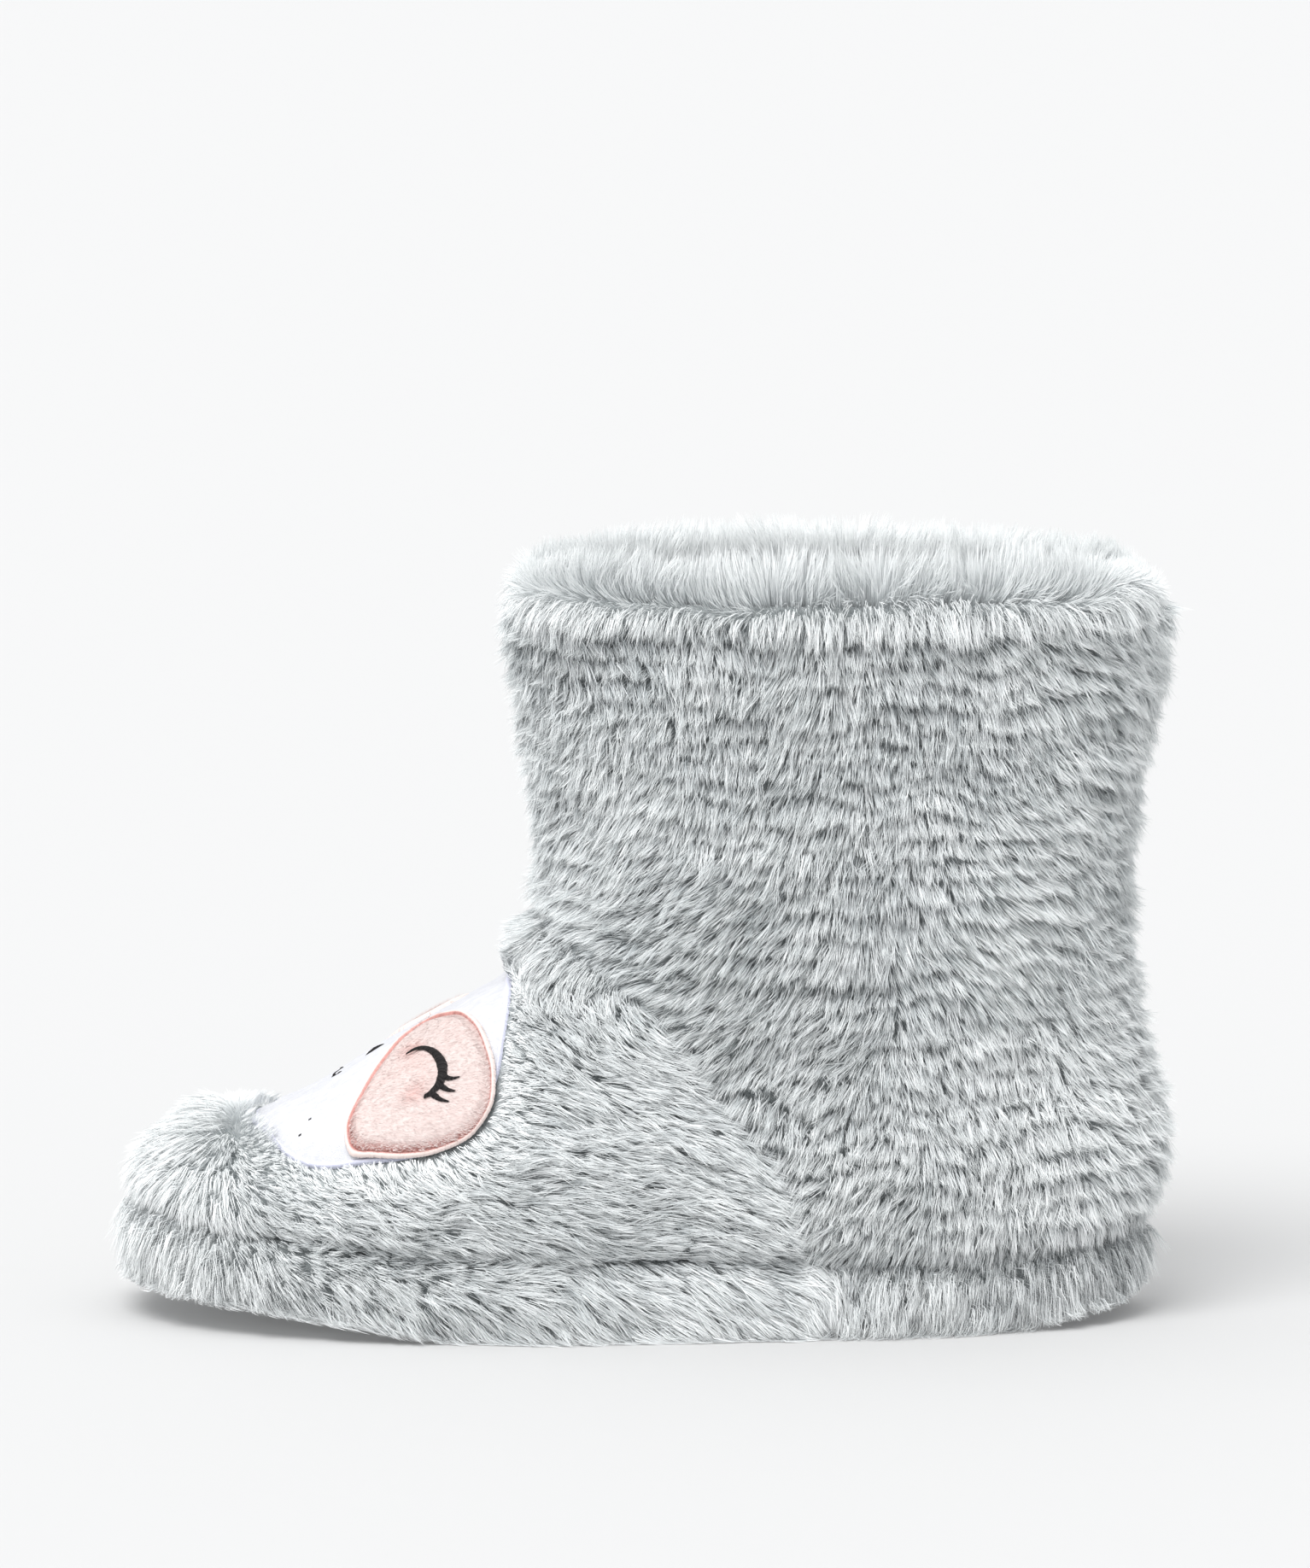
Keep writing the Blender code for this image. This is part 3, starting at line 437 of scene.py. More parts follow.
def grip_dots():
    """Low domes in staggered rows, standing on the sheet's underside."""
    rows = np.arange(-HEEL_REACH, BASE_LENGTH - HEEL_REACH, DOT_PITCH * math.sin(math.pi / 3))
    spots = [(x, y + DOT_PITCH * 0.5 * (k % 2)) for k, x in enumerate(rows)
             for y in np.arange(-BALL_WIDTH / 2, BALL_WIDTH / 2, DOT_PITCH)]
    spots = np.array(spots)
    spots = spots[inside_outline(spots, base_outline(SOLE_POINTS, -SOLE_EDGE * WRAP_PILE - 1.6 * DOT_RADIUS))]
    angle = np.arange(8) / 8 * 2 * math.pi
    profile = ((1.0, 0.0), (0.80, 0.75), (0.35, 1.0))
    dome = [(radius * math.cos(a), radius * math.sin(a), height) for radius, height in profile for a in angle]
    dome = np.array(dome) * (DOT_RADIUS, DOT_RADIUS, DOT_HEIGHT)
    points = np.repeat(spots, len(dome), axis=0) + np.tile(dome[:, :2], (len(spots), 1))
    z = sole_underside(points[:, 0]) + DOT_HEIGHT - np.tile(dome[:, 2], len(spots))
    ring = grid_faces(len(profile), 8, closed=True)
    cap = np.array([(16, 16 + k, 16 + k + 1, 16 + k + 1) for k in range(1, 7)])
    sides = (ring[None] + len(dome) * np.arange(len(spots))[:, None, None]).reshape(-1, 4)
    caps = (cap[None] + len(dome) * np.arange(len(spots))[:, None, None]).reshape(-1, 4)
    triangles = np.concatenate([sides[:, [0, 1, 2]], sides[:, [0, 2, 3]], caps[:, [0, 1, 2]]])
    return np.column_stack([points, z]), triangles


dot_points, dot_faces = grip_dots()
add_piece("grip_dots", dot_points, dot_faces, rubber)


# Footbed. A soft insole board covered in pale fleece, filling the lining's outline inside the upper.
# It is glued in, and its pile is pressed flat by the foot.
WALL = 0.0035
INSOLE_THICKNESS = 0.0045
SEAT_GAP = 0.00045


class Skin:
    """The upper's backing. A place on it is (turn, level): turn 0 is the front, 0.25 the outer side,
    0.5 the back; level 0 is the base line and 1 the collar."""

    def __init__(self):
        self.levels = np.linspace(0, 1, LEVELS)
        self.points = np.stack([section(level) for level in self.levels])
        around = np.roll(self.points, -1, axis=1) - np.roll(self.points, 1, axis=1)
        up = np.gradient(self.points, axis=0)
        self.out = unit(np.cross(around, up))
        self.cell = np.linalg.norm(np.cross(around / 2, up), axis=2)
        toe = np.clip((self.points[..., 0] - TOE_PRESS_FROM) / TOE_PRESS_REACH, 0, 1)
        high = np.clip((self.points[..., 2] - TOE_PRESS_BASE) / 0.008, 0, 1)
        front = np.clip((TOE_PRESS_END - self.points[..., 0]) / 0.009, 0, 1)
        press = toe * toe * (3 - 2 * toe) * high * high * (3 - 2 * high) * front * front * (3 - 2 * front)
        self.points = self.points - self.out * (TOE_PRESS * press)[..., None]

    def read(self, grid, turn, level):
        count = grid.shape[1]
        column_at = (np.asarray(turn, float) % 1.0) * count
        row_at = np.clip(np.asarray(level, float), 0, 1) * (LEVELS - 1)
        row = np.minimum(row_at.astype(int), LEVELS - 2)
        col = column_at.astype(int) % count
        after = (col + 1) % count
        right = (column_at - np.floor(column_at))[..., None]
        above = (row_at - row)[..., None]
        low = grid[row, col] * (1 - right) + grid[row, after] * right
        high = grid[row + 1, col] * (1 - right) + grid[row + 1, after] * right
        return low * (1 - above) + high * above

    def place(self, turn, level, lift):
        turn, level, lift = np.broadcast_arrays(turn, level, lift)
        return self.read(self.points, turn, level) + self.read(self.out, turn, level) * lift[..., None]

    def slice(self, x, side):
        """The cross-section at x on one side, from the ridge down: distance, turn and level."""
        half = self.points.shape[1] // 2
        steps = np.arange(0, half + 1)
        columns = steps if side > 0 else (-steps) % self.points.shape[1]
        rows = self.points[:, columns, :]
        reach = rows[:, 0, 0]
        crossing = [k for k in range(LEVELS) if reach[k] > x and self.levels[k] < 0.52]
        ridge_level = np.interp(-x, -reach[:int(0.52 * LEVELS)], self.levels[:int(0.52 * LEVELS)])
        turns = [0.0]
        levels = [float(ridge_level)]
        for k in reversed(crossing):
            place = np.interp(-x, -rows[k, :, 0], steps)
            turns.append(side * place / self.points.shape[1])
            levels.append(self.levels[k])
        points = self.read(self.points, np.array(turns), np.array(levels))
        return run_along(points), np.array(turns), np.array(levels)

    def chart_vamp(self):
        """Charts the vamp: turn and level by side, station and distance across."""
        self.stations = np.linspace(BASE_LENGTH - HEEL_REACH - VAMP_LENGTH - 0.004,
                                    BASE_LENGTH - HEEL_REACH - 0.008, CHART_STATIONS)
        self.reaches = np.linspace(0, CHART_REACH, CHART_REACHES)
        self.chart = np.zeros((2, CHART_STATIONS, CHART_REACHES, 2))
        for number, side in enumerate((1, -1)):
            for row, station in enumerate(self.stations):
                run, turns, levels = self.slice(station, side)
                self.chart[number, row, :, 0] = np.interp(self.reaches, run, turns)
                self.chart[number, row, :, 1] = np.interp(self.reaches, run, levels)

    def on_vamp(self, x, across, lift):
        """Points of the vamp at stations x, a distance across from the middle line, lifted; also
        the way out of the skin there."""
        x, across, lift = [np.ravel(v) for v in np.broadcast_arrays(x, across, lift)]
        row_at = np.interp(x, self.stations, np.arange(CHART_STATIONS))
        step_at = np.interp(np.abs(across), self.reaches, np.arange(CHART_REACHES))
        row = np.minimum(row_at.astype(int), CHART_STATIONS - 2)
        step = np.minimum(step_at.astype(int), CHART_REACHES - 2)
        side = np.where(across >= 0, 0, 1)
        down = (row_at - row)[:, None]
        right = (step_at - step)[:, None]
        near = self.chart[side, row, step] * (1 - right) + self.chart[side, row, step + 1] * right
        far = self.chart[side, row + 1, step] * (1 - right) + self.chart[side, row + 1, step + 1] * right
        turn, level = (near * (1 - down) + far * down).T
        out = unit(self.read(self.out, turn, level))
        dropped = lift - RIDGE_DROP * np.clip(1 - across / RIDGE_REACH, 0, 1)
        lift = np.maximum(dropped, np.minimum(lift, LEAST_LIFT))
        return self.read(self.points, turn, level) + out * lift[:, None], out


TOE_PRESS = 0.0026          # the soft top of the toe is pressed down a little, in metres
TOE_PRESS_FROM = 0.052
TOE_PRESS_REACH = 0.024
TOE_PRESS_BASE = 0.028
TOE_PRESS_END = 0.0945
RIDGE_DROP = 0.0012         # the middle of the face and its inner half sit a little flatter
RIDGE_REACH = 0.010
LEAST_LIFT = 0.0004         # but its rim never sinks into the backing
CHART_STATIONS = 220
CHART_REACHES = 160
CHART_REACH = 0.060
skin = Skin()
skin.chart_vamp()

fleece = Finish("footbed_fleece", 0.95, sheen=0.3)
curls = fleece.noise(900.0, 3.0)
fleece.colour(fleece.mix(fleece.range(curls, 0.32, 0.68), cloth(186, 191, 193), cloth(219, 223, 224)))
fleece.relief(curls + fleece.noise(180.0, 2.0) * 0.8, 0.0006)


def footbed():
    """Rings from the middle of the top, over its rounded rim and in again underneath."""
    count = 120
    turn = np.arange(count) / count
    lining = skin.place(turn, np.zeros(count), np.full(count, -WALL))[:, :2]
    edge = moved_outline(lining, -SEAT_GAP)
    middle = np.stack([edge[:, 0] * 0.86, middle_line(edge[:, 0])], axis=1)
    rings = []
    for share, height in ((0.5, 0.0), (0.97, 0.0), (1.0, 0.12), (1.0, 0.62), (0.985, 0.88), (0.95, 1.0)):
        rings.append((share, height))
    rings += [(share, 1.0) for share in np.linspace(0.9, 0.0, 18)]
    made = []
    for share, height in rings:
        flat = middle + (edge - middle) * share
        made.append(np.column_stack([flat, platform_top(flat[:, 0]) + GAP + INSOLE_THICKNESS * height]))
    return np.concatenate(made), grid_faces(len(made), count, closed=True)


bed_points, bed_faces = footbed()
add_piece("footbed", bed_points, bed_faces, fleece, ["insole"])


# Backing and lining of the upper. The fur's knitted backing is grey, and deep between the locks it
# is all that shows; where the face is let in there is no fur on it. Inside, down to the footbed, the
# upper is lined with short pale fleece.
UNDERFUR = 0.0024           # how high the densest underfur stands on the backing
THROAT_X = BASE_LENGTH - HEEL_REACH - VAMP_LENGTH

# The face panel's and the eye patches' outlines, laid flat on the vamp, as in the solids
FACE_OUTLINE = (
    # along, across
    (0.073, 0.000),
    (0.074, 0.148),
    (0.078, 0.260),
    (0.092, 0.383),
    (0.112, 0.490),
    (0.165, 0.580),
    (0.255, 0.595),
    (0.350, 0.578),
    (0.461, 0.525),
    (0.558, 0.463),
    (0.636, 0.383),
    (0.691, 0.265),
    (0.727, 0.136),
    (0.737, 0.000),
)
PATCH_OUTLINE = (
    # along, across
    (0.277, 0.103),
    (0.337, 0.134),
    (0.394, 0.220),
    (0.453, 0.331),
    (0.491, 0.424),
    (0.477, 0.498),
    (0.416, 0.547),
    (0.331, 0.592),
    (0.247, 0.616),
    (0.165, 0.613),
    (0.119, 0.572),
    (0.104, 0.492),
    (0.119, 0.381),
    (0.153, 0.263),
    (0.202, 0.162),
)

# The vamp unrolled about a line inside it, so that the bare face can be told from the fur
ROLL_HEIGHT = 0.020
ROLL_RADIUS = 0.040


def face_edge(count):
    flat = eased(FACE_OUTLINE, count)
    return THROAT_X + VAMP_LENGTH * flat[:, 0], BALL_WIDTH * np.clip(flat[:, 1], 0, None)


def patch_edge(side, count, grow=0.0):
    wrapped = PATCH_OUTLINE[-3:] + PATCH_OUTLINE + PATCH_OUTLINE[:4]
    flat = eased(wrapped, count, 3, 3 + len(PATCH_OUTLINE), endpoint=False)
    return moved_outline(flat * (VAMP_LENGTH, side * BALL_WIDTH) + (THROAT_X, 0.0), grow)


def unrolled(points):
    across = points[:, 1] - middle_line(points[:, 0])
    return np.stack([points[:, 0], ROLL_RADIUS * np.arctan2(across, points[:, 2] - ROLL_HEIGHT)], axis=1)


def nearest_edge(flat, starts, ends):
    """Distance of flat points from the nearest of some edges, the way away from it, and its side."""
    best = np.full(len(flat), 1.0)
    away = np.zeros((len(flat), 2))
    side = np.ones(len(flat))
    for start, end in zip(starts, ends):
        edge = end - start
        apart = flat - start
        share = np.clip((apart @ edge) / (edge @ edge), 0, 1)
        off = apart - share[:, None] * edge
        length = np.hypot(off[:, 0], off[:, 1])
        nearer = length < best
        best = np.where(nearer, length, best)
        away = np.where(nearer[:, None], off, away)
        side = np.where(nearer, np.sign(apart[:, 0] * edge[1] - apart[:, 1] * edge[0]), side)
    return best, unit(away), side


half_face = np.stack(face_edge(40), axis=1)
whole_face = np.concatenate([half_face, half_face[-2:0:-1] * (1, -1)])
bare_shapes = [whole_face, patch_edge(1, 50), patch_edge(-1, 50)]
bare_shapes = [unrolled(skin.on_vamp(shape[:, 0], shape[:, 1], 0.0)[0]) for shape in bare_shapes]


def face_distance(points):
    """Distance of points of the skin from the bare face, less than 0 on it, and the way away."""
    flat = unrolled(points)
    best = np.full(len(points), 1.0)
    away = np.zeros((len(points), 2))
    for outline in bare_shapes:
        distance, off, _ = nearest_edge(flat, outline, np.roll(outline, -1, axis=0))
        distance = np.where(inside_outline(flat, outline), -distance, distance)
        away = np.where((distance < best)[:, None], off, away)
        best = np.minimum(best, distance)
    behind = (points[:, 0] < THROAT_X - 0.006) | (points[:, 2] > 0.088)
    return np.where(behind, 1.0, best), away


backing = Finish("fur_backing", 0.95)
thick = backing.noise(650.0, 4.0)
backing.colour(backing.mix(backing.range(thick, 0.3, 0.7), cloth(134, 140, 142), cloth(180, 185, 186)))
backing.relief(thick, 0.0012)


def shell(lift, rows, count):
    """The skin from the base line to the collar, lifted, but not where the face is bare."""
    turn, level = np.meshgrid(np.arange(count) / count, np.linspace(0, 1, rows))
    turn, level = turn.ravel(), level.ravel()
    bare, _ = face_distance(skin.read(skin.points, turn, level))
    lift = lift * np.clip(bare / 0.004, 0, 1) if lift > 0 else np.full(len(turn), lift)
    return skin.place(turn, level, lift), grid_faces(rows, count, True)


outer_points, outer_faces = shell(UNDERFUR, 60, 160)
add_piece("upper_backing", outer_points, outer_faces, backing)
inner_points, inner_faces = shell(-WALL + GAP, 36, 110)
add_piece("upper_lining", inner_points, inner_faces[:, ::-1], fleece)


# Fur. Long two-tone pile, smoky grey at the root and frosted pale at the tip, knitted into the
# backing. It lies in small locks that part in wavy bands, and each panel has its own lie.
STRANDS_PER_MM2 = 6.2
STRAND_WIDTH = 0.00020
PILE_LENGTH = 0.0083
LOCK_SIZE = 0.0013
ROW_PITCH = 0.0043          # the locks of the leg lie in wavy rows

# Lean of the fur towards the toe on the leg and heel, in degrees from straight down, by height
LEG_STATIONS = (-0.100, -0.077, -0.055, -0.040, -0.020, 0.000, 0.020)
LEG_LIE = (
    # height, then the lean at each station
    (0.158, -45, -30, -15, 10, 0, -20, -60),
    (0.140, -40, -20, -12, -4, -3, -8, -50),
    (0.122, -38, -28, 0, 18, 12, -5, -10),
    (0.103, -35, -38, 8, 22, 16, 12, 17),
    (0.085, -36, -36, -5, 20, 40, 58, 65),
    (0.067, -33, -28, -25, 38, 40, 55, 60),
    (0.048, -28, -12, -20, 35, 25, 30, 30),
    (0.030, -18, 8, 30, 30, 38, 40, 40),
    (0.015, 0, 15, 40, 45, 45, 45, 45),
)
FOOT_STATIONS = (-0.035, -0.012, 0.010, 0.035, 0.060, 0.080, 0.100)
FOOT_LIE = (
    (0.090, 40, 40, 30, 25, 25, 25, 25),
    (0.078, -30, -20, 20, 50, 20, 0, 0),
    (0.066, -60, -60, -52, -40, -30, -20, 0),
    (0.057, -60, -64, -62, -45, -40, -10, 40),
    (0.048, -55, -60, -68, -70, -60, -20, 60),
    (0.039, -55, -57, -70, -80, -75, -60, 60),
    (0.030, -75, -75, -85, -86, -84, -70, 40),
    (0.021, -85, -86, -86, -85, -84, -80, 20),
)

# The seam between vamp and shaft, seen from the side, as in the solids
SEAM = (
    # along, up
    (0.325, -0.60),
    (0.327, 0.00),
    (0.340, 0.20),
    (0.358, 0.36),
    (0.407, 0.52),
    (0.453, 0.75),
    (0.479, 0.855),
    (0.543, 1.03),
    (0.597, 1.15),
    (0.720, 1.40),
)


def lie_table(table, stations, x, z):
    """The lean read from a table of heights and stations, in radians."""
    rows = np.array(table, float)
    rows = rows[np.argsort(rows[:, 0])]
    leans = np.stack([np.interp(x, stations, row[1:]) for row in rows], axis=1)
    at = np.clip(np.interp(z, rows[:, 0], np.arange(len(rows))), 0, len(rows) - 1.001)
    low = at.astype(int)
    share = at - low
    here = np.arange(len(x))
    return np.radians(leans[here, low] * (1 - share) + leans[here, low + 1] * share)


def drift(points, size, seed):
    """Smooth random values about 0 that change over the given size, one at each point."""
    lattice = np.random.default_rng(seed).normal(0, 0.5, (32, 32, 32))
    at = points / size + 1000.0
    cell = np.floor(at).astype(int)
    t = at - cell
    t = t * t * (3 - 2 * t)
    total = np.zeros(len(points))
    for corner in range(8):
        step = np.array([corner & 1, corner >> 1 & 1, corner >> 2 & 1])
        weight = np.where(step, t, 1 - t).prod(axis=1)
        spot = (cell + step) % 32
        total += weight * lattice[spot[:, 0], spot[:, 1], spot[:, 2]]
    return total


def seam_distance(points):
    """How far a point lies ahead of the seam, towards the vamp, seen from the side."""
    low = platform_top(0.0)
    rise = platform_top(BASE_LENGTH - HEEL_REACH) + INSTEP_RISE - low
    line = eased(SEAM, 60) * (BASE_LENGTH, rise) + (-HEEL_REACH, low)
    distance, _, side = nearest_edge(points[:, [0, 2]], line[:-1], line[1:])
    return distance * side


def hanging(out, lean):
    """Ways along the skin that lean by so much from straight down, seen from the side."""
    drawn = np.stack([np.sin(lean), np.zeros(len(lean)), -np.cos(lean)], axis=1)
    return unit(drawn - out * (drawn * out).sum(axis=1, keepdims=True))


def turned(lie, out, angle):
    """Ways along the skin turned about the way out."""
    side = np.cross(out, lie)
    return lie * np.cos(angle)[:, None] + side * np.sin(angle)[:, None]


fur = Finish("frosted_fur", 0.75)
tone, along = fur.flat_map("strand")
root_colour = fur.mix(tone, cloth(124, 130, 133), cloth(236, 239, 240))
body_colour = fur.mix(tone, cloth(180, 186, 188), cloth(249, 251, 251))
tip_colour = fur.mix(tone, cloth(224, 229, 230), cloth(250, 252, 252))
lower = fur.mix(fur.range(along, 0.34, 0.72), root_colour, body_colour)
fur.colour(fur.mix(fur.range(along, 0.64, 0.93), lower, tip_colour))


SOLE_DROOP = 0.0016         # how far the longest hairs hang below the hem
HEM_STATIONS = (0.030, 0.058, 0.085, 0.104)
HEM_RISE = (0.0, 0.0034, 0.0022, 0.0)      # the hem is drawn up under the sprung toe


def lay_fur(name, root, out, lie, length, stand, tone, seed, replaced=(), gather=0.40, loose=1.0):
    """Strands as slim leaves of two triangles that rise from the backing, bend into the lie and
    gather into small locks. None hangs below the sole."""
    rng = np.random.default_rng(seed)
    count = len(root)
    locks = max(4, int(count / (STRANDS_PER_MM2 * 1e6) / LOCK_SIZE ** 2))
    centres = rng.choice(count, locks, replace=False)
    tree = KDTree(locks)
    for number, k in enumerate(centres):
        tree.insert(root[k], number)
    tree.balance()
    owner = np.array([tree.find(point)[1] for point in root])
    lock_turn = rng.normal(0, 0.18 * loose, locks)[owner]
    lock_size = 1 + rng.uniform(-0.20, 0.12, locks)[owner] * loose
    lock_rise = rng.normal(0, 0.13 * loose, locks)[owner]
    lock_tone = rng.normal(0, 0.12, locks)[owner]
    owner = centres[owner]

    def tip_of(k, turn, size, rise):
        way = turned(lie[k], out[k], turn)
        reach = (length[k] * size)[:, None]
        return root[k] + reach * (out[k] * np.sin(rise)[:, None] + way * np.cos(rise)[:, None]), way

    size = lock_size * rng.uniform(0.80, 1.06, count)
    rise = np.clip(stand + lock_rise + rng.normal(0, 0.09, count), 0.05, 1.5)
    own_tip, way = tip_of(np.arange(count), lock_turn + rng.normal(0, 0.14, count), size, rise)
    shared_rise = np.clip(stand[owner] + lock_rise, 0.05, 1.5)
    shared_tip, _ = tip_of(owner, lock_turn, lock_size, shared_rise)
    pulled = shared_tip + (root - root[owner]) * 0.30
    tip = own_tip + (pulled - own_tip) * (gather * rng.uniform(0.4, 1.1, count))[:, None]
    steep = np.minimum(rise * 1.45 + 0.15, 1.5)
    reach = (length * size)[:, None]
    middle = root + 0.55 * reach * (out * np.sin(steep)[:, None] + way * np.cos(steep)[:, None])
    middle += (tip - own_tip) * 0.42
    droop = rng.uniform(0, 1, count)
    for part in (middle, tip):
        hem = np.interp(part[:, 0], HEM_STATIONS, HEM_RISE)
        ragged = SOLE_DROOP * (droop + 0.5 * drift(root, 0.005, 71))
        lowest = np.maximum(sole_underside(part[:, 0]) + hem - ragged, 0.0003)
        part[:, 2] = np.maximum(part[:, 2], lowest)

    facing = unit(out + 0.30 * rng.normal(0, 1, (count, 3)))
    side = unit(np.cross(tip - root, facing)) * (STRAND_WIDTH * rng.uniform(0.65, 1.25, count))[:, None]
    points = np.stack([root, middle - side * 0.5, middle + side * 0.5, tip], axis=1)
    start = 4 * np.arange(count)[:, None, None]
    triangles = (np.array([(0, 2, 1), (1, 2, 3)])[None] + start).reshape(-1, 3)
    shade = np.clip(tone + lock_tone + rng.normal(0, 0.16, count), 0.02, 0.98)
    flat = np.zeros((count, 4, 2))
    flat[:, :, 0] = shade[:, None] + np.array([0.0, -0.01, 0.01, 0.0])
    flat[:, :, 1] = (0.02, 0.55, 0.55, 0.98)
    flat = flat.reshape(-1, 2)
    return add_piece(name, points.reshape(-1, 3), triangles, fur, replaced, None,
                     {"strand": flat, "OFBake": flat})


def scatter(seed, turn_low, turn_high):
    """Roots sown evenly over a strip of the skin: turns and levels."""
    rng = np.random.default_rng(seed)
    columns = np.arange(int(turn_low * 2 * HALF_STEPS), int(turn_high * 2 * HALF_STEPS))
    cell = skin.cell[:-1][:, columns]
    count = int(cell.sum() * 1e6 * STRANDS_PER_MM2)
    pick = rng.choice(cell.size, count, p=(cell / cell.sum()).ravel())
    level = (pick // len(columns) + rng.uniform(0, 1, count)) / (LEVELS - 1)
    turn = (columns[pick % len(columns)] + rng.uniform(0, 1, count)) / (2 * HALF_STEPS)
    root = skin.place(turn, level, np.full(count, 0.6 * UNDERFUR))
    return root, unit(skin.read(skin.out, turn, level)), level


SEAM_REACH = 0.0045         # how far from a seam the pile is shorn shorter
EDGE_REACH = 0.0100         # and from the bare face
FOREHEAD_X = THROAT_X + 0.0085     # behind it the fur stands up as a tuft


def groove(distance, reach):
    """How far the pile has regained its length at a distance from a seam, from 0 to 1."""
    return np.clip(distance / reach, 0, 1) ** 0.7


def leg_fur(name, seed, turn_low, turn_high, replaced=()):
    root, out, level = scatter(seed, turn_low, turn_high)
    ahead = seam_distance(root)
    keep = ahead < -0.0006
    root, out, level, ahead = root[keep], out[keep], level[keep], ahead[keep]
    lean = lie_table(LEG_LIE, LEG_STATIONS, root[:, 0], root[:, 2])
    lean += 0.45 * drift(root, 0.016, 31) + 0.30 * drift(root, 0.007, 32)
    lie = hanging(out, lean)
    crease = groove(-ahead, SEAM_REACH)
    low = groove(level, 0.045)
    row = (root[:, 2] + 0.0040 * drift(root, 0.012, 36) + 0.0012 * drift(root, 0.004, 37)) / ROW_PITCH
    row = (row % 1 - 0.5) * np.clip(1.0 + 0.8 * drift(root, 0.018, 38), 0.3, 1.4)
    waves = drift(root * (0.45, 0.45, 1.5), 0.0060, 33)
    broad = drift(root, 0.013, 35)
    length = (PILE_LENGTH * (0.45 + 0.55 * crease) * (0.45 + 0.55 * low)
              * (1 + 0.16 * waves + 0.10 * broad + 0.22 * row))
    stand = (1.08 * (0.55 + 0.45 * crease) * (0.6 + 0.4 * low)
             * (1 + 0.20 * waves + 0.12 * broad - 0.80 * row))
    # The tone is paler low on the leg and at the heel end, painted light; it is darker near the seam, near the
    # base line and towards the top of each wavy row, under the tips of the row above, painted shade.
    painted_light_low_back = np.clip((0.080 - root[:, 2]) / 0.040, 0, 1) + 0.5 * np.clip((-0.060 - root[:, 0]) / 0.020, 0, 1)
    tone = (0.58 + 0.22 * drift(root, 0.012, 34) + 0.16 * waves - 0.42 * row - 0.30 * (1 - crease)
            - 0.35 * (1 - low) + 0.22 * painted_light_low_back)
    return lay_fur(name, root, out, lie, length, stand, tone, seed + 1, replaced)


def foot_fur(name, seed, turn_low, turn_high, replaced=()):
    root, out, level = scatter(seed, turn_low, turn_high)
    ahead = seam_distance(root)
    bare, away = face_distance(root)
    keep = (ahead > 0.0006) & (bare > 0.0003)
    root, out, level, ahead, bare, away = [v[keep] for v in (root, out, level, ahead, bare, away)]
    lean = lie_table(FOOT_LIE, FOOT_STATIONS, root[:, 0], root[:, 2])
    lean += 0.38 * drift(root, 0.016, 41) + 0.25 * drift(root, 0.007, 42)
    lie = hanging(out, lean)
    across = unit(np.cross(out, (1.0, 0.0, 0.0)))
    spread = np.stack([away[:, 0], np.zeros(len(away)), np.zeros(len(away))], axis=1) + across * away[:, 1:]
    near = np.clip(1 - bare / 0.011, 0, 1)[:, None]
    near *= np.where(root[:, 0] > 0.062, 0.45, 0.65)[:, None]
    lie = unit(lie * (1 - near) + unit(spread) * near)
    lapping = (np.clip((root[:, 0] - 0.074) / 0.006, 0, 1) * np.clip(1 - bare / 0.009, 0, 1))[:, None]
    lie = unit(lie * (1 - 0.9 * lapping) + np.array([-0.7, 0.0, 0.4]) * lapping)
    crease = groove(ahead, SEAM_REACH)
    low = groove(level, 0.045)
    edge = np.clip(bare / EDGE_REACH, 0, 1) ** 0.8
    edge = np.maximum(edge, 0.36 * np.clip((root[:, 0] - 0.060) / 0.006, 0, 1))
    waves = drift(root * (0.6, 0.6, 1.4), 0.0060, 43)
    on_toe = np.interp(root[:, 0], (0.066, 0.074, 0.083, 0.089, 0.097), (0.0, 0.9, 0.9, 0.2, 0.5))
    on_toe *= np.clip((root[:, 2] - 0.027) / 0.010, 0, 1)
    tuft = np.clip((FOREHEAD_X - root[:, 0]) / 0.003, 0, 1)
    tuft *= np.clip((0.016 - abs(root[:, 1])) / 0.004, 0, 1)
    edge = np.maximum(edge, 0.8 * tuft)
    painted_toe_light = np.clip((root[:, 0] - 0.055) / 0.030, 0, 1)
    lie = unit(lie + np.array([0.40, 0.0, 0.35]) * tuft[:, None])
    length = (PILE_LENGTH * (0.45 + 0.55 * crease) * (0.45 + 0.55 * low) * (0.42 + 0.58 * edge)
              * (1 + 0.18 * waves) * (1 - 0.48 * on_toe))
    stand = (0.84 * (0.55 + 0.45 * crease) * (0.6 + 0.4 * low) * (0.66 + 0.34 * edge)
             * (1 + 0.32 * waves) * (1 - 0.15 * on_toe) * (1 + 0.25 * tuft))
    # The tone is paler towards the toe and near the bare face, painted light; it is darker near the seam and near
    # the base line, painted shade.
    tone = (0.66 + 0.30 * painted_toe_light + 0.18 * drift(root, 0.012, 44) + 0.16 * waves - 0.25 * (1 - crease)
            - 0.30 * (1 - low) + 0.45 * (1 - edge))
    return lay_fur(name, root, out, lie, length, stand, tone, seed + 1, replaced)


leg_fur("leg_fur_outer_front", 101, 0.0, 0.25, ["shaft"])
leg_fur("leg_fur_outer_back", 103, 0.25, 0.5)
leg_fur("leg_fur_inner_back", 105, 0.5, 0.75)
leg_fur("leg_fur_inner_front", 107, 0.75, 1.0)
foot_fur("foot_fur_outer", 121, 0.0, 0.5, ["vamp"])
foot_fur("foot_fur_inner", 131, 0.5, 1.0)


